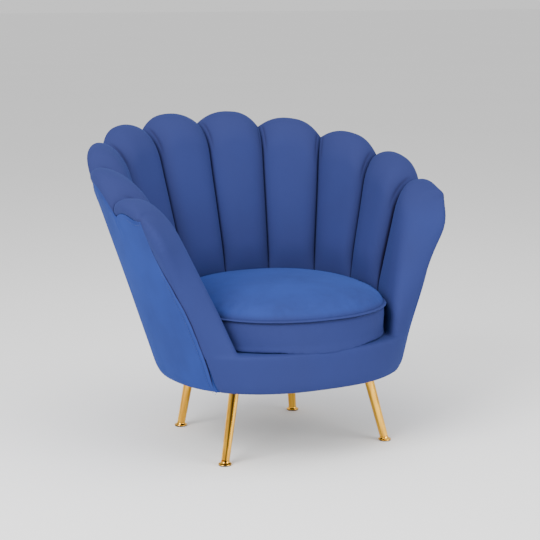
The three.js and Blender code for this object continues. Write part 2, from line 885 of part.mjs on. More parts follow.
function armPiping(side) {
  const outward = new THREE.Vector3(side * Math.cos(pipingTurn), -Math.sin(pipingTurn), 0);
  const offset = pipingRadius + 3 * clearance;
  const edge = shellLine(side);
  const points = bottomRollProfile(bottomRollSteps, 0, 0).reverse().map(([depth, z]) => edge.at(depth, z));
  const stop = { share: 1, channel: channelsPerSide - 1, along: 1 };
  points.push(...layerHeights(stop, 1, layerRows).map((z) => edge.at(0, z)));
  points.forEach((point) => point.addScaledVector(outward, offset));
  return tubeAlong(points, pipingRadius, armPipingSteps, pipingFaces);
}

// Legs
function legTube(leg) {
  const top = bodyBottom + baseRailLift - plateThickness - 2 * clearance;
  const bottom = neckHeight;
  return raked(lathed([
    [legBottomRadius - legWall, bottom],
    [legBottomRadius, bottom],
    [legTopRadius, top],
    [legTopRadius - legWall, top],
    [legBottomRadius - legWall, bottom],
  ]), leg);
}

function footDisc(leg) {
  const low = glideThickness + clearance;
  const spigot = legBottomRadius - legWall - clearance;
  return raked(lathed([
    [0, low],
    [discRadius, low],
    [discRadius, low + discThickness * discEdgeShare],
    [discRadius - discThickness, low + discThickness],
    [legBottomRadius + neckFlare, neckHeight - clearance - neckFlareHeight],
    [legBottomRadius, neckHeight - clearance],
    [spigot, neckHeight - clearance],
    [spigot, neckHeight + legBottomRadius],
    [0, neckHeight + legBottomRadius],
  ]), leg);
}

function footGlide(leg) {
  const radius = discRadius - glideInset;
  return raked(lathed([[0, 0], [radius, 0], [radius, glideThickness], [0, glideThickness]]), leg);
}

function legPlate(leg) {
  const half = plateSize / 2;
  const outline = new THREE.Shape();
  outline.moveTo(-half + plateCorner, -half);
  outline.lineTo(half - plateCorner, -half);
  outline.lineTo(half, -half + plateCorner);
  outline.lineTo(half, half - plateCorner);
  outline.lineTo(half - plateCorner, half);
  outline.lineTo(-half + plateCorner, half);
  outline.lineTo(-half, half - plateCorner);
  outline.lineTo(-half, -half + plateCorner);
  outline.closePath();
  outline.holes.push(new THREE.Path(circlePoints({ x: 0, y: 0 }, studRadius + studClearance)));
  const options = { depth: plateThickness, bevelEnabled: false };
  const z = bodyBottom + baseRailLift - plateThickness - clearance;
  return raked(new THREE.ExtrudeGeometry(outline, options).translate(0, 0, z), leg);
}

function legStud(leg) {
  const bottom = bodyBottom - studDepthInLeg;
  const top = bottom + studLength;
  const plug = legTopRadius - legWall - 2 * clearance;
  const shoulder = bodyBottom + baseRailLift - plateThickness - 2 * clearance;
  return raked(lathed([
    [0, bottom],
    [plug - studPlugTaper, bottom],
    [plug, shoulder],
    [studRadius, shoulder],
    [studRadius, top],
    [0, top],
  ]), leg);
}

function addLegs() {
  for (const leg of legs) {
    addPiece(`leg_tube_${leg.label}`, legTube(leg), gold);
    addPiece(`leg_foot_${leg.label}`, footDisc(leg), gold);
    addPiece(`foot_glide_${leg.label}`, footGlide(leg), nylon);
    addPiece(`leg_plate_${leg.label}`, legPlate(leg), steel);
    addPiece(`leg_stud_${leg.label}`, legStud(leg), steel);
    addPiece(`corner_block_${leg.label}`, cornerBlock(leg), timber);
  }
}

function addSprings() {
  for (let place = 0; place < springCount; place++) {
    addPiece(`seat_spring_${place + 1}`, seatSpring(place), steel);
  }
}

// The origin ends up on the floor, under the middle of the whole chair
function centreOverFloor() {
  const middle = new THREE.Box3().setFromObject(chair).getCenter(new THREE.Vector3());
  for (const mesh of chair.children) {
    mesh.geometry.translate(0, -middle.y, 0);
  }
}

addChannelPads();
addPiece("outer_cover", outerCover(), velvet);
addPiece("apron_cover", apronCover(), velvet);
addPiece("arm_piping_left", armPiping(-1), velvet);
addPiece("arm_piping_right", armPiping(1), velvet);
addPiece("seat_cushion", seatCushion(), velvet);
addPiece("cushion_piping", cushionPiping(), velvet);
addPiece("seat_deck", seatDeck(), velvet);
addPiece("dust_cover", dustCover(), lining);
addPiece("shell_board", shellBoard(), timber);
addPiece("top_rail", topRail(), timber);
addPiece("front_board", frontBoard(), timber);
addUprights();
addSeatFrame();
addSprings();
addLegs();
centreOverFloor();

export default chair;
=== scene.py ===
import bpy
import bmesh
import json
import math
from bisect import bisect_left
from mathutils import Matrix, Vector, noise
from mathutils.kdtree import KDTree


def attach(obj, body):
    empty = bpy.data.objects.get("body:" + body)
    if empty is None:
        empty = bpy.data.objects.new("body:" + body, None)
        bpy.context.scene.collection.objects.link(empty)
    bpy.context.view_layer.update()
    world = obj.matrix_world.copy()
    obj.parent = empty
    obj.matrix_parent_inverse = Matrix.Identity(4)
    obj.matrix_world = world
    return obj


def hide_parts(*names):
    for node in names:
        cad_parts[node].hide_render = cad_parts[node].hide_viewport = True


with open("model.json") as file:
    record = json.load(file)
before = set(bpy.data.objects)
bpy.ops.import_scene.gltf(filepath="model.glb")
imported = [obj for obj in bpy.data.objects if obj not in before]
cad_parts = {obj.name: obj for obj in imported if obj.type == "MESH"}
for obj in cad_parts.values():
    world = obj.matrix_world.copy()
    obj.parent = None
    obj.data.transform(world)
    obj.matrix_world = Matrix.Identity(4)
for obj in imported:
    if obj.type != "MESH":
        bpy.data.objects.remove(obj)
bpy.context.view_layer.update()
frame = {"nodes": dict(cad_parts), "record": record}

print("frame loaded:", len(frame["nodes"]), "nodes")

# Vector noise takes its seed from the clock unless one is set
noise.seed_set(5)

# Armchair with a scalloped shell of padded channels. Metres, +Z up, the sitter faces -Y.
# The body's plan is laid out from the middle of the seat, which lies planShift behind the origin.
planShift = -0.07972

camera = {
    "distance": 3.943,
    "turn": 28.71,
    "tilt": 9.72,
    "lens": 107.2,
    "target": (0, planShift, 0.44),
    "shift": (-0.0057, -0.0156),
}

studio = {
    "floorSize": 60,
    "floorColour": (0.93, 0.93, 0.93),
    "skyColour": (1.0, 1.0, 1.0),
    "skyStrength": 0.90,
    "keyPower": 188,
    "fillPower": 106,
    "topPower": 62,
}

body = {
    "bodyBottom": 0.178,
    "seatLevel": 0.272,
    "crownHeight": 0.781,
    "planCentre": -0.010,
    "frontReach": 0.268,
    "footHalfWidth": 0.288,
    "footRearReach": 0.290,
    "headHalfWidth": 0.489,
    "headRearReach": 0.468,
    "footEdge": -0.176,
    "headEdge": -0.166,
    "footRearRoundness": 2.04,
    "headRearRoundness": 2.06,
    "footFrontRoundness": 2.4,
    "headFrontRoundness": 4.75,
    "wall": 0.079,
    "creaseRoundnessFoot": 2.9,
    "creaseRoundnessHead": 2.6,
    "armCreaseRoundness": 6,
    "footWallShare": 0.68,
    "wallGrowthTop": 0.380,
    "armEndSweep": 0.034,
    "armSweepStart": 0.512,
    "armSweepShare": 0.94,
    "armSweepRoundness": 2,
    "paddingDepth": 0.0292,
}

scallops = {
    "channelsPerSide": 5,
    "crownFall": 0.194,
    "crownRoundness": 1.77,
    "notchDepth": 0.036,
    "roundness": 2.4,
    "peakShare": 0.57,
    "armEndDrop": 0.002,
    "outerRoll": 0.034,
    "armEndRoll": 0.006,
    "innerRoll": 0.072,
    "crestShare": 0.34,
}


def mix(low, high, share):
    return low + (high - low) * share


def smooth(value, low, high):
    share = min(max((value - low) / (high - low), 0), 1)
    return share * share * (3 - 2 * share)


def bump(distance, width):
    return math.exp(-(distance / width) ** 2)


# Plan lines of the shell, walked from the back centre to the front edge of the arm
def ovalPoint(halfWidth, reach, roundness, turn):
    across, along = math.cos(turn), math.sin(turn)
    return Vector((
        halfWidth * math.copysign(abs(across) ** (2 / roundness), across),
        reach * math.copysign(abs(along) ** (2 / roundness), along),
    ))


def tracePlan(halfWidth, rearReach, rearRoundness, frontRoundness, edge):
    steps = 160
    points = [
        ovalPoint(halfWidth, rearReach, rearRoundness, math.pi / 2 * (1 - step / steps))
        for step in range(steps + 1)
    ]
    for step in range(1, steps + 1):
        point = ovalPoint(halfWidth, body["frontReach"], frontRoundness, -math.pi / 2 * step / steps)
        last = points[-1]
        if point.y <= edge - body["planCentre"]:
            share = (last.y - edge + body["planCentre"]) / (last.y - point.y)
            points.append(last.lerp(point, share))
            break
        points.append(point)
    lengths = [0]
    for before, after in zip(points, points[1:]):
        lengths.append(lengths[-1] + (after - before).length)
    return points, lengths


def alongPlan(plan, share):
    points, lengths = plan
    target = share * lengths[-1]
    step = min(max(bisect_left(lengths, target), 1), len(lengths) - 1)
    part = (target - lengths[step - 1]) / (lengths[step] - lengths[step - 1])
    return points[step - 1].lerp(points[step], part)


skinFoot = tracePlan(body["footHalfWidth"], body["footRearReach"], body["footRearRoundness"],
                     body["footFrontRoundness"], body["footEdge"])
skinHead = tracePlan(body["headHalfWidth"], body["headRearReach"], body["headRearRoundness"],
                     body["headFrontRoundness"], body["headEdge"])
creaseFoot = tracePlan(body["footHalfWidth"] - body["wall"], body["footRearReach"] - body["wall"],
                       body["creaseRoundnessFoot"], body["armCreaseRoundness"], body["footEdge"])
creaseHead = tracePlan(body["headHalfWidth"] - body["wall"], body["headRearReach"] - body["wall"],
                       body["creaseRoundnessHead"], body["armCreaseRoundness"], body["headEdge"])


def heightShare(z):
    return (z - body["bodyBottom"]) / (body["crownHeight"] - body["bodyBottom"])


def armSweepAt(z):
    top = body["crownHeight"] - scallops["crownFall"]
    rise = max(0, z - body["armSweepStart"]) / (top - body["armSweepStart"])
    return body["armEndSweep"] * rise ** body["armSweepRoundness"]


class ShellLine:
    # one upright line of the shell, at a share from -1 on the left arm to 1 on the right arm

    def __init__(self, share):
        self.side = -1 if share < 0 else 1
        reach = min(abs(share), 1)
        self.skin = [self.place(plan, reach) for plan in (skinFoot, skinHead)]
        self.crease = [self.place(plan, reach) for plan in (creaseFoot, creaseHead)]
        middle = self.skin[0].lerp(self.skin[1], 0.5)
        self.inward = (self.crease[0].lerp(self.crease[1], 0.5) - middle).normalized()
        self.sweep = smooth(reach, body["armSweepShare"], 1)

    def place(self, plan, reach):
        point = alongPlan(plan, reach)
        return Vector((self.side * point.x, point.y + body["planCentre"] + planShift))

    def at(self, depth, z):
        point = self.skin[0].lerp(self.skin[1], heightShare(z)) + self.inward * depth
        return Vector((point.x, point.y + self.sweep * armSweepAt(z), z))

    def wall(self, z):
        outer = self.skin[0].lerp(self.skin[1], heightShare(z))
        depth = (self.crease[0].lerp(self.crease[1], heightShare(z)) - outer).dot(self.inward)
        return depth * mix(body["footWallShare"], 1, smooth(z, body["seatLevel"], body["wallGrowthTop"]))


def topAt(share, along):
    peak = scallops["peakShare"]
    span = peak if along < peak else 1 - peak
    drop = (abs(along - peak) / span) ** scallops["roundness"]
    armFront = abs(share) > 1 - (1 - peak) / scallops["channelsPerSide"]
    crown = body["crownHeight"] - scallops["crownFall"] * abs(share) ** scallops["crownRoundness"]
    return crown - (scallops["armEndDrop"] if armFront else scallops["notchDepth"]) * drop


def seamAt(share, channel, along):
    drop = scallops["outerRoll"]
    if channel == scallops["channelsPerSide"] - 1:
        drop = mix(drop, scallops["armEndRoll"], smooth(along, 0.5, 1))
    return topAt(share, along) - drop


# Mesh helpers
def makePiece(name, points, faces, finish):
    mesh = bpy.data.meshes.new(name)
    mesh.from_pydata([tuple(point) for point in points], [], faces)
    piece = bpy.data.objects.new(name, mesh)
    bpy.context.collection.objects.link(piece)
    mesh.materials.append(finish)
    settleMesh(piece)
    return piece


def settleMesh(piece, sharpAngle=50):
    mesh = piece.data
    work = bmesh.new()
    work.from_mesh(mesh)
    bmesh.ops.remove_doubles(work, verts=work.verts, dist=1e-6)
    bmesh.ops.recalc_face_normals(work, faces=work.faces)
    for face in work.faces:
        face.smooth = True
    for edge in work.edges:
        edge.smooth = edge.calc_face_angle(0) < math.radians(sharpAngle)
    work.to_mesh(mesh)
    work.free()


def gridFaces(rows, columns, closed):
    faces = []
    for row in range(rows - 1):
        for column in range(columns if closed else columns - 1):
            after = (column + 1) % columns
            faces.append((row * columns + column, row * columns + after,
                          (row + 1) * columns + after, (row + 1) * columns + column))
    return faces


def solidFromRings(name, rings, finish):
    count = len(rings[0])
    points = [point for ring in rings for point in ring]
    faces = gridFaces(len(rings), count, True)
    faces.append(tuple(range(count)))
    faces.append(tuple(range(len(points) - 1, len(points) - 1 - count, -1)))
    return makePiece(name, points, faces, finish)


# stores the painted shade mark that darkens the velvet
def storePaintedShade(piece, marks):
    layer = piece.data.attributes.new("paintedShade", "FLOAT", "POINT")
    layer.data.foreach_set("value", marks)


# Materials
def newFinish(name):
    finish = bpy.data.materials.new(name)
    finish.use_nodes = True
    tree = finish.node_tree
    return finish, tree, tree.nodes["Principled BSDF"]


def objectNoise(tree, scale, detail, stretch=(1, 1, 1), roughness=0.55):
    coordinates = tree.nodes.new("ShaderNodeTexCoord")
    mapping = tree.nodes.new("ShaderNodeMapping")
    mapping.inputs["Scale"].default_value = stretch
    tree.links.new(coordinates.outputs["Object"], mapping.inputs["Vector"])
    pattern = tree.nodes.new("ShaderNodeTexNoise")
    pattern.inputs["Scale"].default_value = scale
    pattern.inputs["Detail"].default_value = detail
    pattern.inputs["Roughness"].default_value = roughness
    tree.links.new(mapping.outputs["Vector"], pattern.inputs["Vector"])
    return pattern.outputs["Fac"]


def spread(tree, value, low, high, toLow, toHigh):
    span = tree.nodes.new("ShaderNodeMapRange")
    for name, number in (("From Min", low), ("From Max", high), ("To Min", toLow), ("To Max", toHigh)):
        span.inputs[name].default_value = number
    tree.links.new(value, span.inputs["Value"])
    return span.outputs["Result"]


def blendColours(tree, share, first, second):
    blend = tree.nodes.new("ShaderNodeMix")
    blend.data_type = "RGBA"
    for socket, value in ((blend.inputs[6], first), (blend.inputs[7], second)):
        if isinstance(value, tuple):
            socket.default_value = (*value, 1)
        else:
            tree.links.new(value, socket)
    tree.links.new(share, blend.inputs[0])
    return blend.outputs[2]


def surfaceRelief(tree, shader, height, distance, strength=1.0):
    relief = tree.nodes.new("ShaderNodeBump")
    relief.inputs["Distance"].default_value = distance
    relief.inputs["Strength"].default_value = strength
    tree.links.new(height, relief.inputs["Height"])
    tree.links.new(relief.outputs["Normal"], shader.inputs["Normal"])


velvet = {
    "pile": (0.024, 0.039, 0.156),
    "lightPile": (0.026, 0.048, 0.213),
    # painted shade colour for the sides away from the lamps, then the painted crease shadow colour
    "shadedPile": (0.0265, 0.0343, 0.118),
    "shadedShare": 0.4,
    "paintedCreaseShadow": (0.010, 0.008, 0.025),
    "sheen": 0.10,
    "sheenTint": (0.16, 0.34, 1.0),
    "sheenRoughness": 0.35,
}


def velvetFinish():
    finish, tree, shader = newFinish("blueVelvet")
    patches = spread(tree, objectNoise(tree, 5.5, 3), 0.38, 0.66, 0, 1)
    colour = blendColours(tree, patches, velvet["pile"], velvet["lightPile"])
    strokes = spread(tree, objectNoise(tree, 60, 2, (1, 1, 0.22)), 0.3, 0.75, 0, 0.35)
    colour = blendColours(tree, strokes, colour, velvet["lightPile"])
    # painted shade: the stored mark darkens the pile towards the shaded colour, then towards the painted crease shadow
    paintedShade = tree.nodes.new("ShaderNodeAttribute")
    paintedShade.attribute_name = "paintedShade"
    turned = spread(tree, paintedShade.outputs["Fac"], 0, velvet["shadedShare"], 0, 1)
    colour = blendColours(tree, turned, colour, velvet["shadedPile"])
    creaseShadow = spread(tree, paintedShade.outputs["Fac"], velvet["shadedShare"], 1, 0, 1)
    colour = blendColours(tree, creaseShadow, colour, velvet["paintedCreaseShadow"])
    tree.links.new(colour, shader.inputs["Base Color"])
    tree.links.new(spread(tree, objectNoise(tree, 9, 4), 0.3, 0.7, 0.72, 0.92), shader.inputs["Roughness"])
    shader.inputs["Sheen Weight"].default_value = velvet["sheen"]
    shader.inputs["Sheen Roughness"].default_value = velvet["sheenRoughness"]
    shader.inputs["Sheen Tint"].default_value = (*velvet["sheenTint"], 1)
    shader.inputs["Specular IOR Level"].default_value = 0.02
    surfaceRelief(tree, shader, objectNoise(tree, 900, 3, (1, 1, 0.6), 0.7), 0.00035, 0.5)
    return finish


def seamThreadFinish():
    finish, tree, shader = newFinish("blueThread")
    twist = objectNoise(tree, 1800, 2, (1, 1, 3))
    colour = blendColours(tree, spread(tree, twist, 0.3, 0.7, 0, 1), (0.016, 0.030, 0.115), (0.026, 0.050, 0.190))
    tree.links.new(colour, shader.inputs["Base Color"])
    shader.inputs["Roughness"].default_value = 0.55
    surfaceRelief(tree, shader, twist, 0.0002)
    return finish


def goldFinish():
    finish, tree, shader = newFinish("goldPlate")
    # streaks along the leg in colour and roughness: partly polishing streaks in the plate, partly painted reflection in
    # their darker bands
    polishAndReflection = objectNoise(tree, 95, 3, (1, 1, 0.035))
    colour = blendColours(tree, spread(tree, polishAndReflection, 0.38, 0.58, 0, 1), (0.78, 0.37, 0.034), (1.0, 0.545, 0.058))
    # painted reflection: a dark streak from the stored mark
    paintedReflection = tree.nodes.new("ShaderNodeAttribute")
    paintedReflection.attribute_name = "paintedReflection"
    colour = blendColours(tree, paintedReflection.outputs["Fac"], colour, (0.045, 0.022, 0.006))
    tree.links.new(colour, shader.inputs["Base Color"])
    shader.inputs["Metallic"].default_value = 1
    haze = objectNoise(tree, 45, 5)
    tree.links.new(spread(tree, haze, 0.35, 0.7, 0.06, 0.18), shader.inputs["Roughness"])
    surfaceRelief(tree, shader, objectNoise(tree, 260, 3, (1, 1, 0.08)), 0.0001, 0.25)
    return finish


def timberFinish():
    finish, tree, shader = newFinish("plyAndPine")
    grain = objectNoise(tree, 26, 6, (1, 1, 0.09), 0.7)
    colour = blendColours(tree, spread(tree, grain, 0.3, 0.7, 0, 1), (0.42, 0.26, 0.12), (0.62, 0.43, 0.24))
    tree.links.new(colour, shader.inputs["Base Color"])
    shader.inputs["Roughness"].default_value = 0.72
    surfaceRelief(tree, shader, grain, 0.0006, 0.4)
    return finish


def steelFinish():
    finish, tree, shader = newFinish("zincSteel")
    cloud = objectNoise(tree, 120, 4)
    colour = blendColours(tree, spread(tree, cloud, 0.3, 0.7, 0, 1), (0.32, 0.33, 0.34), (0.52, 0.52, 0.50))
    tree.links.new(colour, shader.inputs["Base Color"])
    shader.inputs["Metallic"].default_value = 1
    tree.links.new(spread(tree, cloud, 0.3, 0.7, 0.3, 0.5), shader.inputs["Roughness"])
    surfaceRelief(tree, shader, cloud, 0.0001, 0.3)
    return finish


def liningFinish():
    finish, tree, shader = newFinish("blackLining")
    web = objectNoise(tree, 650, 3)
    colour = blendColours(tree, spread(tree, web, 0.35, 0.7, 0, 1), (0.008, 0.008, 0.009), (0.035, 0.035, 0.038))
    tree.links.new(colour, shader.inputs["Base Color"])
    shader.inputs["Roughness"].default_value = 0.95
    surfaceRelief(tree, shader, web, 0.0004, 0.6)
    return finish


def nylonFinish():
    finish, tree, shader = newFinish("blackNylon")
    scuffs = objectNoise(tree, 320, 4)
    colour = blendColours(tree, spread(tree, scuffs, 0.45, 0.75, 0, 1), (0.012, 0.012, 0.013), (0.06, 0.06, 0.06))
    tree.links.new(colour, shader.inputs["Base Color"])
    tree.links.new(spread(tree, scuffs, 0.3, 0.7, 0.42, 0.68), shader.inputs["Roughness"])
    surfaceRelief(tree, shader, scuffs, 0.0001, 0.4)
    return finish


finishes = {
    "velvet": velvetFinish(),
    "thread": seamThreadFinish(),
    "gold": goldFinish(),
    "timber": timberFinish(),
    "steel": steelFinish(),
    "lining": liningFinish(),
    "nylon": nylonFinish(),
}
slots = {part["node"]: part["material_slot"] for part in frame["record"]["subparts"]}
for node, nodeObject in frame["nodes"].items():
    for slot in nodeObject.material_slots:
        slot.material = finishes[slots[node]]
print("materials made")


# Studio: pale floor, sky light and three soft lamps
def lookFrom(item, place, target):
    item.location = place
    item.rotation_euler = (Vector(target) - Vector(place)).to_track_quat("-Z", "Y").to_euler()


def addStudio():
    size = studio["floorSize"]
    corners = [(-size, -size, 0), (size, -size, 0), (size, size, 0), (-size, size, 0)]
    floorFinish, tree, shader = newFinish("paleFloor")
    cloud = spread(tree, objectNoise(tree, 0.6, 2), 0.3, 0.7, 0, 1)
    pale = studio["floorColour"]
    tree.links.new(blendColours(tree, cloud, pale, tuple(value * 0.985 for value in pale)),
                   shader.inputs["Base Color"])
    shader.inputs["Roughness"].default_value = 0.9
    floor = makePiece("floor", corners, [(0, 1, 2, 3)], floorFinish)

    world = bpy.data.worlds.new("studioSky")
    bpy.context.scene.world = world
    world.use_nodes = True
    background = world.node_tree.nodes["Background"]
    background.inputs["Color"].default_value = (*studio["skyColour"], 1)
    background.inputs["Strength"].default_value = studio["skyStrength"]

    for name, power, size, place in (
        ("keyLamp", studio["keyPower"], 2.4, (-3.1, -1.5, 2.5)),
        ("fillLamp", studio["fillPower"], 2.6, (1.8, -3.3, 1.5)),
        ("topLamp", studio["topPower"], 2.6, (-0.3, -0.5, 3.3)),
    ):
        lamp = bpy.data.lights.new(name, "AREA")
        lamp.energy = power
        lamp.size = size
        item = bpy.data.objects.new(name, lamp)
        bpy.context.collection.objects.link(item)
        lookFrom(item, place, (0, planShift, 0.45))


def addCamera():
    turn, tilt = math.radians(camera["turn"]), math.radians(camera["tilt"])
    forward = Vector((math.sin(turn) * math.cos(tilt), math.cos(turn) * math.cos(tilt), -math.sin(tilt)))
    target = Vector(camera["target"])
    lens = bpy.data.cameras.new("viewCamera")
    lens.lens = camera["lens"]
    lens.sensor_width = 36
    lens.shift_x, lens.shift_y = camera["shift"]
    item = bpy.data.objects.new("viewCamera", lens)
    bpy.context.collection.objects.link(item)
    lookFrom(item, target - forward * camera["distance"], target)
    bpy.context.scene.camera = item


addStudio()
addCamera()
print("studio and camera set")

# Channel pads of the back and sides
pads = {
    "puff": 0.031,
    "puffStart": 0.300,
    "puffFull": 0.450,
    "puffRoundness": 2.8,
    "puffEdgeShare": 0.6,
    "stepsAcross": 64,
    "faceRows": 44,
    "innerRollRows": 14,
    "outerRollRows": 12,
    "rollBulge": 0.0015,
    "seamTuck": 0.004,
    "armFullness": 0.66,
    "creaseGap": 0.0006,
    "softness": 0.0012,
    "coreShadeReach": 0.0032,
    "backRows": 26,
    "shadeReach": 0.026,
    "outerShade": 0.09,
    "innerShade": 0.0,
    "coreShade": 0.54,
    "paintedShadeBase": 0.33,
    "paintedFrontShade": 0.31,
    "topShade": 0.06,
    "pleatDepth": 0.0022,
    "pleatWidth": 0.0024,
    "pleatOffset": 0.010,
    "pleatLength": 0.080,
}
nose = {
    "lowLevel": 0.280,
    "highLevel": 0.560,
    "inset": 0.103,
    "forwardLow": 0.074,
    "forwardHigh": -0.066,
    "pull": 2,
    "bulge": 0.0062,
    "valley": 0.022,
    "bulgeFade": (0.30, 0.70),
}


def puffAt(along, z):
    across = abs(2 * along - 1)
    rise = smooth(z, pads["puffStart"], pads["puffFull"])
    return pads["puff"] * (1 - across ** pads["puffRoundness"]) ** pads["puffEdgeShare"] * rise


def noseControl(z, side):
    rise = (z - nose["lowLevel"]) / (nose["highLevel"] - nose["lowLevel"])
    edge = alongPlan(skinFoot, 1).lerp(alongPlan(skinHead, 1), heightShare(z))
    forward = mix(nose["forwardLow"], nose["forwardHigh"], rise)
    return Vector((side * (edge.x - nose["inset"]), edge.y + body["planCentre"] - forward + planShift, z))


class PadColumn:
    # one upright strip of a channel pad: its shell line and the face on the sitter's side

    def __init__(self, side, channel, along, inset=0):
        count = scallops["channelsPerSide"]
        self.side, self.channel, self.along = side, channel, along
        self.share = side * ((channel + along) / count + inset)
        self.line = ShellLine(self.share)
        self.creaseLine = ShellLine(side * channel / count)
        self.armEdge = ShellLine(side)
        self.top = topAt(self.share, along)
        self.seam = seamAt(self.share, channel, along)

    def innerFace(self, z):
        if self.channel < scallops["channelsPerSide"] - 1:
            return self.line.at(self.line.wall(z) + puffAt(self.along, z), z)
        along = self.along
        point = self.noseCurve(along, z)
        run = self.noseCurve(min(along + 0.01, 1), z) - self.noseCurve(max(along - 0.01, 0), z)
        outward = Vector((run.y, -run.x, 0)).normalized() * self.side
        rest = 1 - along
        cap = smooth(z, self.seam - 0.008, self.seam + 0.004)
        swell = mix(1 - math.exp(-rest / nose["valley"]), 1, cap) * (1 - smooth(rest, *nose["bulgeFade"]))
        return point + outward * nose["bulge"] * swell

    def noseCurve(self, along, z):
        start = self.creaseLine.at(self.creaseLine.wall(z), z)
        end = self.armEdge.at(0, z)
        control = noseControl(z, self.side)
        weights = ((1 - along) ** 2, 2 * nose["pull"] * along * (1 - along), along ** 2)
        return (start * weights[0] + control * weights[1] + end * weights[2]) / sum(weights)

    def across(self, depthShare, z):
        return self.line.at(0, z).lerp(self.innerFace(z), depthShare)


def backDepth(column, z):
    # padding in front of the welt comes out to the arm's outer side
    if column.channel < scallops["channelsPerSide"] - 1:
        return body["paddingDepth"]
    thin = mix(body["paddingDepth"], 0.0066, smooth(column.along, 0.80, 0.86))
    edge = coverEnd(z)
    return thin * (1 - smooth(abs(column.share), edge - 0.003, edge + 0.0015))


def padRing(column, bottom):
    # bottom at the back, up the back, over the roll and down the sitter's side
    ring, line = [], column.line
    full, tuck = 1, pads["seamTuck"]
    if column.channel == scallops["channelsPerSide"] - 1:
        full = pads["armFullness"]
        tuck *= 1 - smooth(column.along, 0.55, 0.78)
    for step in range(pads["backRows"]):
        z = mix(bottom, column.seam, step / (pads["backRows"] - 1))
        ring.append(line.at(backDepth(column, z), z))
    ring.append(line.at(tuck + 0.002, column.seam - 0.001))
    crest = scallops["crestShare"]
    rows = pads["outerRollRows"]
    for step in range(rows + 1):
        turn = math.pi / 2 * step / rows
        z = mix(column.seam, column.top, math.sin(turn))
        shift = tuck * bump(z - column.seam, 0.005) - pads["rollBulge"] * math.sin(math.pi * step / rows)
        point = column.across(crest * (1 - math.cos(turn)), z)
        ring.append(point + Vector((*(line.inward * shift), 0)))
    rows = pads["innerRollRows"]
    for step in range(1, rows + 1):
        turn = math.pi / 2 * step / rows
        z = column.top - scallops["innerRoll"] * (1 - math.cos(turn))
        ring.append(column.across(mix(crest, 1, math.sin(turn) ** full), z))
    rows = pads["faceRows"]
    for step in range(1, rows + 1):
        ring.append(column.innerFace(mix(column.top - scallops["innerRoll"], bottom, step / rows)))
    return ring


def creaseSteps(count):
    # closer together at both creases
    return [(1 - math.cos(math.pi * step / count)) / 2 for step in range(count + 1)]


def softened(points, seed, amount):
    moved = []
    for point in points:
        where = Vector((point.x * 9, point.y * 9, point.z * 5 + seed))
        shift = noise.noise_vector(where) * amount
        moved.append(point + Vector((shift.x, shift.y, shift.z * 0.4)))
    return moved


def creasePaintedShade(fromCrease, outerSide, below, z):
    # the sitter's side gets painted shade, and painted crease shadow falls in the creases, widest on a pad's outer
    # side; a little painted shade also darkens the scallops' tops
    shade = pads["outerShade"] if outerSide else pads["innerShade"]
    crease = pads["coreShade"] * bump(fromCrease, pads["coreShadeReach"]) + shade * bump(fromCrease, pads["shadeReach"])
    crease *= mix(0.2, 1, smooth(below, 0, 0.07)) * mix(0.1, 1, smooth(z, 0.30, 0.44))
    return min(1, crease + pads["topShade"] * (1 - smooth(below, 0.02, 0.09)))


def channelPad(side, channel):
    label = "Left" if side < 0 else "Right"
    count = scallops["channelsPerSide"]
    inset = pads["creaseGap"] / 2 / skinFoot[1][-1]
    width = skinHead[1][-1] / count
    crestStep = pads["backRows"] + 1 + pads["outerRollRows"]
    rings, marks = [], []
    for along in creaseSteps(pads["stepsAcross"]):
        edgeInset = inset if along == 0 else -inset if along == 1 else 0
        column = PadColumn(side, channel, along, edgeInset)
        ring = padRing(column, body["seatLevel"] + 0.001)
        fromCrease = min(along, 1 - along) * width
        for step, point in enumerate(ring):
            below = column.top - point.z
            pleat = bump(fromCrease - pads["pleatOffset"], pads["pleatWidth"])
            pleat *= smooth(pads["pleatLength"] - below, 0, 0.05) * smooth(step, crestStep, crestStep + 5)
            point += Vector((*(column.line.inward * -pads["pleatDepth"] * pleat), 0))
            crease = creasePaintedShade(fromCrease, along > 0.5, below, point.z)
            # painted shade: an even base for the whole pad, plus painted crease shadow and painted shade in the pleats'
            # hollows
            marks.append(pads["paintedShadeBase"] + crease + 0.25 * pleat)
        rings.append(softened(ring, 3.1, pads["softness"]))
    pad = solidFromRings(f"pad{label}{channel + 1}", rings, finishes["velvet"])
    storePaintedShade(pad, marks)
    return pad


def addChannelPads():
    for side, label in ((-1, "left"), (1, "right")):
        for channel in range(scallops["channelsPerSide"] - 1):
            pad = channelPad(side, channel)
            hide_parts(f"channel_pad_{label}_{channel + 1}")
            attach(pad, "frame")


addChannelPads()
print("channel pads made")

# Arm fronts and apron, one cover
front = {
    "steps": 44,
    "apronRoll": 0.009,
    "apronLean": 0.003,
    "apronFlange": 0.085,
    "bottomRollHeight": 0.030,
    "bottomRollReach": 0.0075,
    "bottomFlange": 0.018,
    "thickness": 0.010,
    "endShare": 0.99,
    "joinVoxel": 0.0032,
    "joinRelax": 5,
    "puff": 0.0030,
    "valley": 0.009,
    "length": 0.33,
    "railEnd": (0.3814, -0.2105, 0.5806),
    "railCover": 0.0018,
    "railReach": 0.020,
    "weltShade": 0.28,
    "weltReach": 0.005,
    "swell": 0.0085,
    "swellHeight": (0.528, 0.058),
    "swellReach": 0.028,
    "sagAt": (0.270, -0.235, 0.185),
    "sagReach": 0.065,
    "sagOut": 0.0075,
    "sagDown": 0.0040,
}
frontEdgeFoot = alongPlan(skinFoot, 1)
frontEdgeHead = alongPlan(skinHead, 1)
frontEndTurn = math.asin((-frontEdgeFoot.y / body["frontReach"]) ** (body["footFrontRoundness"] / 2))


def cornerSag(point):
    # the right front corner hangs a little fuller than the left
    place = Vector(point)
    amount = bump((place - Vector(front["sagAt"])).length, front["sagReach"])
    outward = Vector((place.x, place.y - planShift, 0)).normalized() * front["sagOut"]
    return place + (outward - Vector((0, 0, front["sagDown"]))) * amount


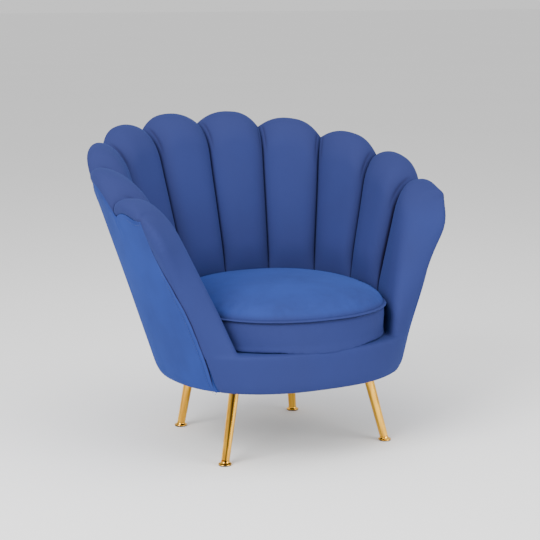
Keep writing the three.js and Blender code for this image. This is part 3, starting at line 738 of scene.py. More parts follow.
def frontPoint(share, depth, z):
    side = -1 if share < 0 else 1
    turn = mix(math.pi / 2, frontEndTurn, abs(share))
    base = ovalPoint(body["footHalfWidth"], body["frontReach"], body["footFrontRoundness"], -turn)
    sideShare = base.x / frontEdgeFoot.x
    rise = heightShare(z)
    x = base.x + sideShare * rise * (frontEdgeHead.x - frontEdgeFoot.x)
    lean = (1 - sideShare) * front["apronLean"] * (z - body["bodyBottom"]) / (body["seatLevel"] - body["bodyBottom"])
    y = base.y + body["planCentre"] + sideShare * rise * (frontEdgeHead.y - frontEdgeFoot.y) + lean
    inward = Vector((-side * math.sin(math.pi / 2 * sideShare), math.cos(math.pi / 2 * sideShare)))
    return Vector((side * x + inward.x * depth, y + inward.y * depth + planShift, z))


def deckSeam(share, z):
    # the line where the apron's flange is sewn to the deck, straight from arm to arm
    depth = front["thickness"] + front["apronFlange"]
    part = share / front["endShare"]
    middle, end = frontPoint(0, depth, z), frontPoint(math.copysign(front["endShare"], share), depth, z)
    return Vector((end.x * abs(part), mix(middle.y, end.y, part * part), z))


def apronPoint(share, depth, z):
    far = (depth - front["thickness"]) / front["apronFlange"]
    if far <= 0 or z < body["seatLevel"] - 0.02:
        return frontPoint(share, depth, z)
    return frontPoint(share, front["thickness"], z).lerp(deckSeam(share, z), far)


def bottomRoll(steps, depth, lift):
    profile = []
    for step in range(steps + 1):
        turn = math.pi / 2 * step / steps
        profile.append((
            depth + (front["bottomRollReach"] - lift / 2) * (1 - math.cos(turn)),
            body["bodyBottom"] + lift + (front["bottomRollHeight"] - lift) * (1 - math.sin(turn)),
        ))
    return profile


def apronProfile():
    roll = front["apronRoll"]
    top = body["seatLevel"]
    profile = []
    for step in range(9):
        turn = math.pi / 2 * (1 - step / 8)
        profile.append((roll * (1 - math.cos(turn)), top - roll * (1 - math.sin(turn))))
    profile += bottomRoll(10, 0, 0)
    flange = front["bottomRollReach"] + front["bottomFlange"]
    thickness = front["thickness"]
    profile += [(flange, body["bodyBottom"]), (flange, body["bodyBottom"] + 0.006)]
    profile += reversed(bottomRoll(5, thickness, 0.0063))
    profile += [(thickness, top - thickness), (thickness + front["apronFlange"], top - thickness)]
    profile += [(thickness + front["apronFlange"], top)]
    profile += [(thickness + front["apronFlange"] * share, top) for share in (0.75, 0.5, 0.25)]
    return profile


def armRings(side):
    channel = scallops["channelsPerSide"] - 1
    inset = pads["creaseGap"] / 2 / skinFoot[1][-1]
    rings = []
    for along in creaseSteps(pads["stepsAcross"] + 12):
        column = PadColumn(side, channel, along, inset if along == 0 else 0)
        rings.append(padRing(column, body["seatLevel"] - 0.004))
    return rings


weltRun = {
    "turn": 41,
    "lift": 0.0004,
    "cornerDrop": 0.0004,
    "footShare": 0.010,
    "footTo": 0.260,
    "backShare": 0.042,
    "backRange": (0.33, 0.53),
    "overSteps": 14,
    "overShare": 0.11,
    "endSize": 0.30,
    "footSize": 0.40,
    "cornerSize": 0.55,
    "thinFrom": 0.035,
    "waver": 0.0013,
    "shadeFrom": 0.0024,
    "shadeTo": 0.0041,
    "shade": {-1: 0.95, 1: 0.25},
}


def coverEnd(z):
    # the outer cover stops short of the arm's front edge higher up
    return 1 - weltRun["backShare"] * smooth(z, *weltRun["backRange"])


def weltShare(z):
    return coverEnd(z) - weltRun["footShare"] * (1 - smooth(z, body["bodyBottom"], weltRun["footTo"]))


def armWeltPath(side):
    # up the arm's front, then back under the roll, where it runs out
    count = scallops["channelsPerSide"]
    corner = weltShare(body["crownHeight"])
    top = seamAt(corner, count - 1, corner * count - count + 1) - weltRun["cornerDrop"]
    foot = body["bodyBottom"] + front["bottomRollHeight"]
    profile = bottomRoll(8, 0, 0)[::-1] + [(0, mix(foot, top, step / 60)) for step in range(1, 61)]
    turn = math.radians(weltRun["turn"])
    outward = Vector((side * math.cos(turn), -math.sin(turn), 0))
    points, facings, sizes = [], [], []
    for depth, z in profile:
        line = ShellLine(side * weltShare(z))
        points.append(line.at(depth, z))
        facings.append(outward.lerp(Vector((*-line.inward, 0)), smooth(z, *weltRun["backRange"])).normalized())
        sizes.append(min(mix(weltRun["footSize"], 1, smooth(z, body["bodyBottom"], foot)),
                         mix(1, weltRun["cornerSize"], smooth(z, top - weltRun["thinFrom"], top))))
    for step in range(1, weltRun["overSteps"] + 1):
        part = step / weltRun["overSteps"]
        share = mix(corner, 1 - weltRun["overShare"], part)
        line = ShellLine(side * share)
        height = seamAt(share, count - 1, share * count - count + 1) - weltRun["cornerDrop"] * (1 - part)
        points.append(line.at(0, height))
        facings.append(Vector((*-line.inward, 0)))
        sizes.append(mix(weltRun["cornerSize"], weltRun["endSize"], smooth(part, 0, 0.6)))
    placed = []
    for point, facing in zip(points, facings):
        waver = weltRun["waver"] * noise.noise(Vector((side * 3, 0, point.z * 38)))
        placed.append(cornerSag(point + facing * weltRun["lift"] + Vector((facing.y, -facing.x, 0)) * waver))
    return placed, facings, sizes


def nearestOf(points):
    tree = KDTree(len(points))
    for index, point in enumerate(points):
        tree.insert(point, index)
    tree.balance()
    return tree


armCreases = {side: ShellLine(side * (1 - 1 / scallops["channelsPerSide"])) for side in (-1, 1)}
armEdges = {side: ShellLine(side) for side in (-1, 1)}
weltPaths = {side: armWeltPath(side) for side in (-1, 1)}
weltPlaces = {side: nearestOf(weltPaths[side][0]) for side in (-1, 1)}


def seatFront():
    shares = [front["endShare"] * (2 * step / front["steps"] - 1) for step in range(front["steps"] + 1)]
    rings = []
    for share in shares:
        swell = front["puff"] * (1 - math.exp(-(1 - abs(share)) * front["length"] / front["valley"]))
        rings.append([apronPoint(share, depth - swell * (1 - smooth(depth, 0, front["apronRoll"])), z)
                      for depth, z in apronProfile()])
    apron = solidFromRings("seatFront", rings, finishes["velvet"])
    arms = [solidFromRings(f"arm{side}", armRings(side), finishes["velvet"]) for side in (-1, 1)]
    work = bmesh.new()
    for piece in (apron, *arms):
        work.from_mesh(piece.data)
    work.to_mesh(apron.data)
    work.free()
    for arm in arms:
        bpy.data.objects.remove(arm)
    joined = apron.modifiers.new("join", "REMESH")
    joined.mode = "VOXEL"
    joined.voxel_size = front["joinVoxel"]
    joined.use_smooth_shade = True
    relax = apron.modifiers.new("relax", "SMOOTH")
    relax.factor = 0.5
    relax.iterations = front["joinRelax"]
    applyModifiers(apron)
    outward = [vertex.normal.copy() for vertex in apron.data.vertices]
    for vertex, normal in zip(apron.data.vertices, outward):
        vertex.co = cornerSag(vertex.co)
        fromEdge = (vertex.co - armEdges[-1 if vertex.co.x < 0 else 1].at(0, vertex.co.z)).length
        level, reach = front["swellHeight"]
        fuller = bump(fromEdge, front["swellReach"]) * bump(vertex.co.z - level, reach)
        vertex.co += normal * front["swell"] * fuller
        fromRail = (Vector((abs(vertex.co.x), vertex.co.y, vertex.co.z)) - Vector(front["railEnd"])).length
        vertex.co += normal * front["railCover"] * bump(fromRail, front["railReach"])
    storePaintedShade(apron, [armAndApronShade(vertex.co) for vertex in apron.data.vertices])
    return apron


def armAndApronShade(point):
    # painted shade over the arm fronts and apron, with painted crease shadow beside the arm's crease and painted shadow
    # beside the welt where the arm meets the apron
    side = -1 if point.x < 0 else 1
    crease = armCreases[side].at(armCreases[side].wall(point.z), point.z)
    away = (Vector((point.x, point.y)) - Vector((crease.x, crease.y))).length
    if point.z < body["seatLevel"] + 0.01:
        return pads["paintedFrontShade"]
    spot, index, gap = weltPlaces[side].find(point)
    weltShadow = front["weltShade"] * bump(gap, front["weltReach"])
    return pads["paintedFrontShade"] + creasePaintedShade(away, False, topAt(side * 0.9, 0.5) - point.z, point.z) + weltShadow


def applyModifiers(piece):
    evaluated = piece.evaluated_get(bpy.context.evaluated_depsgraph_get())
    mesh = bpy.data.meshes.new_from_object(evaluated)
    piece.modifiers.clear()
    piece.data = mesh
    mesh.name = piece.name


seatCover = seatFront()
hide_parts("apron_cover", "channel_pad_left_5", "channel_pad_right_5")
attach(seatCover, "frame")
print("arm fronts and apron made:", len(seatCover.data.polygons), "faces")

# Outer cover round the back and sides
outer = {
    "stepsPerChannel": 24,
    "rows": 34,
    "thickness": 0.0063,
    "edgeRound": 0.007,
    "edgeTuck": 0.0035,
    "pucker": 0.0022,
    "puckerReach": 0.030,
}


def coverShare(share, z):
    start = 1 - 1 / scallops["channelsPerSide"]
    reach = abs(share)
    if reach > start:
        reach = mix(start, coverEnd(z), (reach - start) / (1 - start))
    return math.copysign(reach, share)


def outerRing(share, channel, along):
    lastChannel = channel == scallops["channelsPerSide"] - 1
    line = ShellLine(share)
    upper = coverShare(share, body["crownHeight"])
    if lastChannel:
        along = abs(upper) * scallops["channelsPerSide"] - channel
    top = seamAt(upper, channel, along) - 0.0005
    foot = body["bodyBottom"] + front["bottomRollHeight"]
    width = skinHead[1][-1] / scallops["channelsPerSide"]
    toNotch = min(along, 1 - along) * width
    profile = []
    for step in range(outer["rows"]):
        z = mix(top, foot, (step / outer["rows"]) ** 1.6)
        below = top - z
        depth = outer["edgeTuck"] * bump(below, outer["edgeRound"]) * (1 - smooth(abs(share), 0.94, 1))
        ridge = bump(toNotch - 0.35 * below, 0.006) - 0.7 * bump(toNotch, 0.005)
        depth -= outer["pucker"] * ridge * bump(below - 0.012, outer["puckerReach"]) * (1 if abs(share) < 0.97 else 0)
        profile.append((depth, z))
    profile += bottomRoll(10, 0, 0)
    flange = front["bottomRollReach"] + front["bottomFlange"]
    profile += [(flange, body["bodyBottom"]), (flange, body["bodyBottom"] + outer["thickness"])]
    profile += reversed(bottomRoll(4, outer["thickness"], outer["thickness"]))
    for step in range(1, 6):
        profile.append((outer["thickness"], mix(foot, top, step / 5)))
    if lastChannel:
        return [ShellLine(coverShare(share, z)).at(depth, z) for depth, z in profile]
    return [line.at(depth, z) for depth, z in profile]


def outerCover():
    count = scallops["channelsPerSide"]
    steps = outer["stepsPerChannel"]
    stops = []
    for channel in range(count):
        for step, along in enumerate(creaseSteps(steps)):
            if channel == 0 or step > 0:
                stops.append(((channel + along) / count, channel, along))
    stops = [(-share, channel, along) for share, channel, along in reversed(stops[1:])] + stops
    rings = [[cornerSag(point) for point in softened(outerRing(*stop), 8.4, 0.0008)] for stop in stops]
    return solidFromRings("outerPanel", rings, finishes["velvet"])


outerPanel = outerCover()
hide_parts("outer_cover")
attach(outerPanel, "frame")
print("outer cover made")

# Loose cushion
cushion = {
    "halfWidth": 0.2546,
    "front": -0.2785,
    "rear": 0.2385,
    "roundness": 2.2,
    "droop": 0.0078,
    "droopFrom": 0.2500,
    "droopTo": 0.2785,
    "bottom": 0.2726,
    "seamHeight": 0.3455,
    "crownHeight": 0.405,
    "sideBulge": 0.0015,
    "voxel": 0.0055,
    "pressure": 4,
    "cap": 0.004,
    "grooveDepth": 0.003,
    "grooveWidth": 0.0028,
}


def cushionRing(inset, z, steps=96):
    centre = (cushion["front"] + cushion["rear"]) / 2
    depth = (cushion["rear"] - cushion["front"]) / 2
    ring = []
    for step in range(steps):
        point = ovalPoint(cushion["halfWidth"] - inset, depth - inset, cushion["roundness"], 2 * math.pi * step / steps)
        ring.append(Vector((point.x, point.y + centre + planShift, z)))
    return ring


def cushionBlank():
    rings = []
    bottom, seam, crown = cushion["bottom"], cushion["seamHeight"], cushion["crownHeight"]
    for inset in (0.9, 0.6, 0.3, 0.1, 0):
        rings.append(cushionRing(inset * cushion["halfWidth"], bottom))
    for step in range(1, 13):
        share = step / 12
        rings.append(cushionRing(-cushion["sideBulge"] * math.sin(math.pi * share), mix(bottom, seam, share)))
    for step in range(1, 22):
        inset = (1 - math.cos(math.pi / 2 * step / 22)) if step < 8 else mix(0.155, 1, (step - 7) / 15)
        lift = (1 - (1 - inset) ** cushion["roundness"]) ** (1 / cushion["roundness"])
        if inset < 0.97:
            rings.append(cushionRing(inset * cushion["halfWidth"], seam + (crown - seam) * lift))
    return solidFromRings("seatPad", rings, finishes["velvet"])


def swell(piece, rest):
    cloth = piece.modifiers.new("swell", "CLOTH")
    cloth.settings.use_pressure = True
    cloth.settings.uniform_pressure_force = cushion["pressure"]
    cloth.settings.effector_weights.gravity = 0
    cloth.settings.quality = 5
    scene = bpy.context.scene
    for step in range(1, 21):
        scene.frame_set(step)
    evaluated = piece.evaluated_get(bpy.context.evaluated_depsgraph_get())
    moved = [vertex.co.copy() for vertex in evaluated.data.vertices]
    piece.modifiers.clear()
    scene.frame_set(1)
    for vertex, place, start in zip(piece.data.vertices, moved, rest):
        shift = (place - start) * smooth(start.z, cushion["bottom"] + 0.004, cushion["bottom"] + 0.030)
        if shift.length > cushion["cap"]:
            shift = shift.normalized() * cushion["cap"]
        vertex.co = start + shift


def looseCushion():
    pad = cushionBlank()
    voxels = pad.modifiers.new("voxels", "REMESH")
    voxels.mode = "VOXEL"
    voxels.voxel_size = cushion["voxel"]
    applyModifiers(pad)
    rest = [vertex.co.copy() for vertex in pad.data.vertices]
    swell(pad, rest)
    finer = pad.modifiers.new("finer", "SUBSURF")
    finer.levels = finer.render_levels = 1
    applyModifiers(pad)
    for polygon in pad.data.polygons:
        polygon.use_smooth = True
    shapeCushion(pad)
    return pad


def shapeCushion(pad):
    marks = []
    centre = Vector((0, (cushion["front"] + cushion["rear"]) / 2 + planShift, 0))
    for vertex in pad.data.vertices:
        vertex.co.z = max(vertex.co.z, cushion["bottom"])
        overEdge = smooth(planShift - vertex.co.y, cushion["droopFrom"], cushion["droopTo"])
        vertex.co.z -= cushion["droop"] * overEdge * (1 - smooth(vertex.co.z, cushion["bottom"], 0.290))
        away = Vector((vertex.co.x - centre.x, vertex.co.y - centre.y, 0))
        edge = smooth(away.length, 0.20, 0.23)
        groove = bump(vertex.co.z - cushion["seamHeight"] + 0.003, cushion["grooveWidth"]) * edge
        vertex.co -= away.normalized() * cushion["grooveDepth"] * groove
        # painted shade on the cushion's sides below the seam, and painted shadow in the groove
        turned = pads["paintedShadeBase"] * (1 - smooth(vertex.co.z, cushion["seamHeight"], cushion["seamHeight"] + 0.02))
        marks.append(max(turned, 0.7 * groove))
    storePaintedShade(pad, marks)


seatPad = looseCushion()
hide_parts("seat_cushion")
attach(seatPad, "cushion")
print("cushion made:", len(seatPad.data.polygons), "faces")


# Seams that follow a path, with their stitches
def seamPath(name, points, facings, sizes, cyclic):
    mesh = bpy.data.meshes.new(name)
    count = len(points)
    edges = [(step, (step + 1) % count) for step in range(count if cyclic else count - 1)]
    mesh.from_pydata([tuple(point) for point in points], edges, [])
    facing = mesh.attributes.new("facing", "FLOAT_VECTOR", "POINT")
    facing.data.foreach_set("vector", [value for vector in facings for value in vector])
    size = mesh.attributes.new("size", "FLOAT", "POINT")
    size.data.foreach_set("value", sizes)
    path = bpy.data.objects.new(name, mesh)
    bpy.context.collection.objects.link(path)
    return path


def addInput(tree, name, kind, value):
    socket = tree.interface.new_socket(name, in_out="INPUT", socket_type=kind)
    if value is not None:
        socket.default_value = value
    return socket


def weltTree():
    # a flat ridge along the path and a row of stitches beside it
    tree = bpy.data.node_groups.new("weltWithStitches", "GeometryNodeTree")
    tree.interface.new_socket("Geometry", in_out="INPUT", socket_type="NodeSocketGeometry")
    tree.interface.new_socket("Geometry", in_out="OUTPUT", socket_type="NodeSocketGeometry")
    for name, value in (("Width", 0.009), ("Height", 0.005), ("Step", 0.004), ("Stitch Pitch", 0.006),
                        ("Stitch Offset", 0.006), ("Stitch Length", 0.0042), ("Stitch Lift", 0.0006)):
        addInput(tree, name, "NodeSocketFloat", value)
    addInput(tree, "Cover", "NodeSocketMaterial", None)
    addInput(tree, "Thread", "NodeSocketMaterial", None)
    nodes, links = tree.nodes, tree.links
    given = nodes.new("NodeGroupInput")
    result = nodes.new("NodeGroupOutput")
    facing = nodes.new("GeometryNodeInputNamedAttribute")
    facing.data_type = "FLOAT_VECTOR"
    facing.inputs["Name"].default_value = "facing"
    toCurve = nodes.new("GeometryNodeMeshToCurve")
    links.new(given.outputs["Geometry"], toCurve.inputs["Mesh"])
    resample = nodes.new("GeometryNodeResampleCurve")
    resample.mode = "LENGTH"
    links.new(toCurve.outputs["Curve"], resample.inputs["Curve"])
    links.new(given.outputs["Step"], resample.inputs["Length"])
    turned = nodes.new("GeometryNodeSetCurveNormal")
    turned.mode = "FREE"
    links.new(resample.outputs["Curve"], turned.inputs["Curve"])
    links.new(facing.outputs["Attribute"], turned.inputs["Normal"])
    circle = nodes.new("GeometryNodeCurvePrimitiveCircle")
    circle.inputs["Resolution"].default_value = 12
    circle.inputs["Radius"].default_value = 0.5
    sizes = nodes.new("ShaderNodeCombineXYZ")
    links.new(given.outputs["Height"], sizes.inputs["X"])
    links.new(given.outputs["Width"], sizes.inputs["Y"])
    sizes.inputs["Z"].default_value = 1
    flatten = nodes.new("GeometryNodeTransform")
    links.new(circle.outputs["Curve"], flatten.inputs["Geometry"])
    links.new(sizes.outputs["Vector"], flatten.inputs["Scale"])
    ridge = nodes.new("GeometryNodeCurveToMesh")
    ridge.inputs["Fill Caps"].default_value = True
    size = nodes.new("GeometryNodeInputNamedAttribute")
    size.data_type = "FLOAT"
    size.inputs["Name"].default_value = "size"
    links.new(size.outputs["Attribute"], ridge.inputs["Scale"])
    links.new(turned.outputs["Curve"], ridge.inputs["Curve"])
    links.new(flatten.outputs["Geometry"], ridge.inputs["Profile Curve"])
    coverSet = nodes.new("GeometryNodeSetMaterial")
    links.new(ridge.outputs["Mesh"], coverSet.inputs["Geometry"])
    links.new(given.outputs["Cover"], coverSet.inputs["Material"])

    spots = nodes.new("GeometryNodeResampleCurve")
    spots.mode = "LENGTH"
    links.new(toCurve.outputs["Curve"], spots.inputs["Curve"])
    links.new(given.outputs["Stitch Pitch"], spots.inputs["Length"])
    tangent = nodes.new("GeometryNodeInputTangent")
    sideways = nodes.new("ShaderNodeVectorMath")
    sideways.operation = "CROSS_PRODUCT"
    links.new(tangent.outputs["Tangent"], sideways.inputs[0])
    links.new(facing.outputs["Attribute"], sideways.inputs[1])
    shift = nodes.new("ShaderNodeVectorMath")
    shift.operation = "SCALE"
    links.new(sideways.outputs["Vector"], shift.inputs[0])
    links.new(given.outputs["Stitch Offset"], shift.inputs["Scale"])
    lift = nodes.new("ShaderNodeVectorMath")
    lift.operation = "SCALE"
    links.new(facing.outputs["Attribute"], lift.inputs[0])
    links.new(given.outputs["Stitch Lift"], lift.inputs["Scale"])
    offset = nodes.new("ShaderNodeVectorMath")
    links.new(shift.outputs["Vector"], offset.inputs[0])
    links.new(lift.outputs["Vector"], offset.inputs[1])
    axes = nodes.new("FunctionNodeAxesToRotation")
    axes.primary_axis, axes.secondary_axis = "X", "Z"
    links.new(tangent.outputs["Tangent"], axes.inputs["Primary Axis"])
    links.new(facing.outputs["Attribute"], axes.inputs["Secondary Axis"])
    keepTurn = nodes.new("GeometryNodeCaptureAttribute")
    keepTurn.domain = "POINT"
    keepTurn.capture_items.new("ROTATION", "turn")
    keepTurn.capture_items.new("VECTOR", "offset")
    links.new(spots.outputs["Curve"], keepTurn.inputs["Geometry"])
    links.new(axes.outputs["Rotation"], keepTurn.inputs["turn"])
    links.new(offset.outputs["Vector"], keepTurn.inputs["offset"])
    points = nodes.new("GeometryNodeCurveToPoints")
    points.mode = "EVALUATED"
    links.new(keepTurn.outputs["Geometry"], points.inputs["Curve"])
    move = nodes.new("GeometryNodeSetPosition")
    links.new(points.outputs["Points"], move.inputs["Geometry"])
    links.new(keepTurn.outputs["offset"], move.inputs["Offset"])
    stitch = nodes.new("GeometryNodeMeshUVSphere")
    stitch.inputs["Segments"].default_value = 6
    stitch.inputs["Rings"].default_value = 4
    stitch.inputs["Radius"].default_value = 0.5
    stitchSize = nodes.new("ShaderNodeCombineXYZ")
    links.new(given.outputs["Stitch Length"], stitchSize.inputs["X"])
    stitchSize.inputs["Y"].default_value = 0.0011
    stitchSize.inputs["Z"].default_value = 0.0009
    place = nodes.new("GeometryNodeInstanceOnPoints")
    links.new(move.outputs["Geometry"], place.inputs["Points"])
    links.new(stitch.outputs["Mesh"], place.inputs["Instance"])
    links.new(keepTurn.outputs["turn"], place.inputs["Rotation"])
    links.new(stitchSize.outputs["Vector"], place.inputs["Scale"])
    real = nodes.new("GeometryNodeRealizeInstances")
    links.new(place.outputs["Instances"], real.inputs["Geometry"])
    threadSet = nodes.new("GeometryNodeSetMaterial")
    links.new(real.outputs["Geometry"], threadSet.inputs["Geometry"])
    links.new(given.outputs["Thread"], threadSet.inputs["Material"])
    join = nodes.new("GeometryNodeJoinGeometry")
    links.new(threadSet.outputs["Geometry"], join.inputs["Geometry"])
    links.new(coverSet.outputs["Geometry"], join.inputs["Geometry"])
    links.new(join.outputs["Geometry"], result.inputs["Geometry"])
    return tree


weltNodes = weltTree()


def setInputs(modifier, values):
    identifiers = {item.name: item.identifier for item in modifier.node_group.interface.items_tree
                   if item.in_out == "INPUT"}
    for name, value in values.items():
        modifier[identifiers[name]] = value


def growSeam(path, values):
    modifier = path.modifiers.new("seam", "NODES")
    modifier.node_group = weltNodes
    setInputs(modifier, {**values, "Cover": finishes["velvet"], "Thread": finishes["thread"]})
    applyModifiers(path)
    settleMesh(path, 60)
    return path


armWelt = {
    "Width": 0.0095,
    "Height": 0.0050,
    "Step": 0.004,
    "Stitch Pitch": 0.0065,
    "Stitch Offset": 0.0085,
    "Stitch Length": 0.0045,
    "Stitch Lift": -0.0008,
}


def shadeNoseEdge(welt, side, points, facings):
    # the edge that lies against the arm front gets a painted shadow
    marks = []
    for vertex in welt.data.vertices:
        spot, index, gap = weltPlaces[side].find(vertex.co)
        run = points[min(index + 1, len(points) - 1)] - points[max(index - 1, 0)]
        towardNose = run.cross(facings[index]).normalized() * -side
        offset = (vertex.co - spot).dot(towardNose)
        marks.append(weltRun["shade"][side] * smooth(offset, weltRun["shadeFrom"], weltRun["shadeTo"]))
    storePaintedShade(welt, marks)


for side, label in ((-1, "left"), (1, "right")):
    points, facings, sizes = weltPaths[side]
    welt = growSeam(seamPath(f"armWelt{label.title()}", points, facings, sizes, False),
                    {**armWelt, "Stitch Offset": armWelt["Stitch Offset"] * side})
    shadeNoseEdge(welt, side, points, facings)
    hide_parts(f"arm_piping_{label}")
    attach(welt, "frame")
print("arm welts made")

cushionFlange = {
    "Width": 0.0046,
    "Height": 0.0145,
    "Step": 0.005,
    "Stitch Pitch": 0.0055,
    "Stitch Offset": 0.0060,
    "Stitch Length": 0.0038,
    "Stitch Lift": -0.0010,
}


def flangePath():
    tree = seatPad.evaluated_get(bpy.context.evaluated_depsgraph_get())
    ring = cushionRing(-0.05, cushion["seamHeight"] + 0.001, 180)
    centre = Vector((0, (cushion["front"] + cushion["rear"]) / 2 + planShift, cushion["seamHeight"] + 0.001))
    points, facings = [], []
    for point in ring:
        inward = (centre - point).normalized()
        hit, spot, normal, face = tree.ray_cast(point, inward)
        points.append(spot - inward * 0.0005)
        facings.append(-inward)
    return points, facings, [1.0] * len(points)


flange = growSeam(seamPath("cushionFlange", *flangePath(), True), cushionFlange)
# painted shade, as on the arm fronts
storePaintedShade(flange, [pads["paintedFrontShade"]] * len(flange.data.vertices))
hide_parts("cushion_piping")
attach(flange, "cushion")
print("cushion flange made")

# Deck under the cushion
deck = {
    "thickness": 0.013,
    "crown": 0.0012,
    "edgeRound": 0.0022,
    "rings": 16,
    "seamShare": 0.90,
    "seamSink": 0.0014,
}
deckStitches = {
    "Width": 0.0030,
    "Height": 0.0020,
    "Step": 0.006,
    "Stitch Pitch": 0.0065,
    "Stitch Offset": -0.0040,
    "Stitch Length": 0.0045,
    "Stitch Lift": 0.0013,
}


def deckOutline(z):
    count = scallops["channelsPerSide"]
    rear = []
    for step in range(97):
        share = 2 * step / 96 - 1
        rear.append(ShellLine(share).at(body["paddingDepth"] + 0.0006, z))
    shares = [front["endShare"] * (2 * step / 48 - 1) for step in range(48, -1, -1)]
    return rear + [deckSeam(share, z) + Vector((0, 0.0003, 0)) for share in shares]


def seatDeck():
    bottom, top = body["seatLevel"] - deck["thickness"], body["seatLevel"]
    low, high = deckOutline(bottom), deckOutline(top)
    centre = sum(high, Vector()) / len(high)
    rings = [low, [point - Vector((0, 0, deck["edgeRound"])) for point in high]]
    for step in range(deck["rings"]):
        share = (step / deck["rings"]) ** 1.3
        lift = deck["crown"] * smooth(share, 0.3, 1) - deck["edgeRound"] * (1 - smooth(share, 0, 0.02))
        rings.append([point.lerp(centre, share * 0.97) + Vector((0, 0, min(lift, 0.0004))) for point in high])
    panel = solidFromRings("seatDeck", rings, finishes["velvet"])
    # painted shade, as on the arm fronts
    storePaintedShade(panel, [pads["paintedFrontShade"]] * len(panel.data.vertices))
    return panel


def deckSeamPath():
    points = []
    for step in range(81):
        share = deck["seamShare"] * (2 * step / 80 - 1)
        points.append(deckSeam(share, body["seatLevel"] - deck["seamSink"]))
    return points, [Vector((0, 0, 1))] * len(points), [1.0] * len(points)


deckPanel = seatDeck()
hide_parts("seat_deck")
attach(deckPanel, "frame")
seam = growSeam(seamPath("deckSeam", *deckSeamPath(), False), deckStitches)
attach(seam, "frame")
print("deck made")

# Legs: raked tapered tubes with disc feet
legs = {
    "faces": 48,
    "topRadius": 0.01225,
    "bottomRadius": 0.010,
    "topHeight": 0.1812,
    "neckHeight": 0.011,
    "discRadius": 0.016,
    "discThickness": 0.0026,
    "glideHeight": 0.0025,
}
# angle and strength of each leg's painted reflection streak
legReflectionStreaks = {
    "front_left": (-118, 1.0),
    "front_right": (-150, 0.5),
    "rear_left": (-160, 0.45),
    "rear_right": (-100, 0.4),
}
legFeet = {
    "front_left": ((-0.2221, -0.1700), (0.227, 0.146)),
    "front_right": ((0.2221, -0.1700), (-0.227, 0.146)),
    "rear_left": ((-0.1641, 0.1921), (0.139, -0.127)),
    "rear_right": ((0.1641, 0.1921), (-0.139, -0.127)),
}


def lathedPiece(name, profile, foot, rake, finish):
    faces = legs["faces"]
    rings = []
    for radius, z in profile:
        ring = []
        for step in range(faces):
            turn = 2 * math.pi * step / faces
            ring.append(Vector((
                foot[0] + rake[0] * z + radius * math.cos(turn),
                foot[1] + planShift + rake[1] * z + radius * math.sin(turn),
                z,
            )))
        rings.append(ring)
    return solidFromRings(name, rings, finish)


def tubeTree():
    tree = bpy.data.node_groups.new("taperedTube", "GeometryNodeTree")
    tree.interface.new_socket("Geometry", in_out="INPUT", socket_type="NodeSocketGeometry")
    tree.interface.new_socket("Geometry", in_out="OUTPUT", socket_type="NodeSocketGeometry")
    addInput(tree, "Bottom", "NodeSocketVector", (0, 0, 0))
    addInput(tree, "Top", "NodeSocketVector", (0, 0, 0.18))
    addInput(tree, "Bottom Radius", "NodeSocketFloat", 0.01)
    addInput(tree, "Top Radius", "NodeSocketFloat", 0.012)
    addInput(tree, "Finish", "NodeSocketMaterial", None)
    nodes, links = tree.nodes, tree.links
    given = nodes.new("NodeGroupInput")
    result = nodes.new("NodeGroupOutput")
    line = nodes.new("GeometryNodeCurvePrimitiveLine")
    links.new(given.outputs["Bottom"], line.inputs["Start"])
    links.new(given.outputs["Top"], line.inputs["End"])
    resample = nodes.new("GeometryNodeResampleCurve")
    resample.inputs["Count"].default_value = 24
    links.new(line.outputs["Curve"], resample.inputs["Curve"])
    along = nodes.new("GeometryNodeSplineParameter")
    taper = nodes.new("ShaderNodeMapRange")
    links.new(along.outputs["Factor"], taper.inputs["Value"])
    links.new(given.outputs["Bottom Radius"], taper.inputs["To Min"])
    links.new(given.outputs["Top Radius"], taper.inputs["To Max"])
    circle = nodes.new("GeometryNodeCurvePrimitiveCircle")
    circle.inputs["Resolution"].default_value = legs["faces"]
    circle.inputs["Radius"].default_value = 1
    tube = nodes.new("GeometryNodeCurveToMesh")
    tube.inputs["Fill Caps"].default_value = True
    links.new(resample.outputs["Curve"], tube.inputs["Curve"])
    links.new(circle.outputs["Curve"], tube.inputs["Profile Curve"])
    links.new(taper.outputs["Result"], tube.inputs["Scale"])
    real = nodes.new("GeometryNodeRealizeInstances")
    links.new(tube.outputs["Mesh"], real.inputs["Geometry"])
    setFinish = nodes.new("GeometryNodeSetMaterial")
    links.new(real.outputs["Geometry"], setFinish.inputs["Geometry"])
    links.new(given.outputs["Finish"], setFinish.inputs["Material"])
    links.new(setFinish.outputs["Geometry"], result.inputs["Geometry"])
    return tree


tubeNodes = tubeTree()


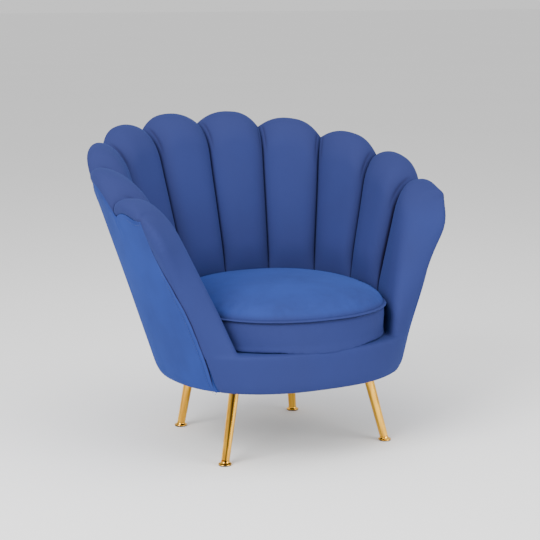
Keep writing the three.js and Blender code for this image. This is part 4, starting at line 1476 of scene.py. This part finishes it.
def legTube(corner, foot, rake):
    blank = bpy.data.meshes.new("tube")
    name = "legTube" + corner.title().replace("_", "")
    tube = bpy.data.objects.new(name, blank)
    bpy.context.collection.objects.link(tube)
    modifier = tube.modifiers.new("tube", "NODES")
    modifier.node_group = tubeNodes
    ends = [(foot[0] + rake[0] * z, foot[1] + planShift + rake[1] * z, z)
            for z in (legs["neckHeight"], legs["topHeight"])]
    setInputs(modifier, {"Bottom": ends[0], "Top": ends[1], "Bottom Radius": legs["bottomRadius"],
                         "Top Radius": legs["topRadius"], "Finish": finishes["gold"]})
    applyModifiers(tube)
    settleMesh(tube)
    paintReflectionStreak(tube, corner, foot, rake, (7, 26))
    return tube


def paintReflectionStreak(tube, corner, foot, rake, widths):
    # a painted reflection: a dark streak down one side, wider towards the top
    angle, strength = legReflectionStreaks[corner]
    marks = []
    for vertex in tube.data.vertices:
        place = vertex.co
        turn = math.atan2(place.y - foot[1] - planShift - rake[1] * place.z, place.x - foot[0] - rake[0] * place.z)
        away = abs((math.degrees(turn) - angle + 180) % 360 - 180)
        width = mix(*widths, smooth(place.z, legs["neckHeight"], legs["topHeight"]))
        marks.append(strength * bump(away, width))
    layer = tube.data.attributes.new("paintedReflection", "FLOAT", "POINT")
    layer.data.foreach_set("value", marks)


def footProfile():
    low, radius, neck = legs["glideHeight"], legs["discRadius"], legs["bottomRadius"]
    top = low + legs["discThickness"]
    profile = [(0.0005, low), (radius * 0.6, low), (radius - 0.0006, low), (radius, low + 0.0006)]
    for step in range(1, 7):
        turn = math.pi / 2 * step / 6
        profile.append((radius - 0.0022 * (1 - math.cos(turn)), low + 0.0006 + 0.0022 * math.sin(turn)))
    for step in range(1, 9):
        share = step / 8
        profile.append((mix(radius - 0.0022, neck + 0.0003, math.sin(math.pi / 2 * share)),
                        mix(top, legs["neckHeight"], 1 - math.cos(math.pi / 2 * share))))
    profile += [(neck - 0.0012, legs["neckHeight"] + 0.0006), (0.0005, legs["neckHeight"] + 0.0006)]
    return profile


for corner, (foot, rake) in legFeet.items():
    tube = legTube(corner, foot, rake)
    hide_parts(f"leg_tube_{corner}")
    disc = lathedPiece("legFoot" + corner.title().replace("_", ""), footProfile(), foot, rake, finishes["gold"])
    paintReflectionStreak(disc, corner, foot, rake, (24, 24))
    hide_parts(f"leg_foot_{corner}")
    for piece in (tube, disc):
        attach(piece, "frame")
print("legs made")
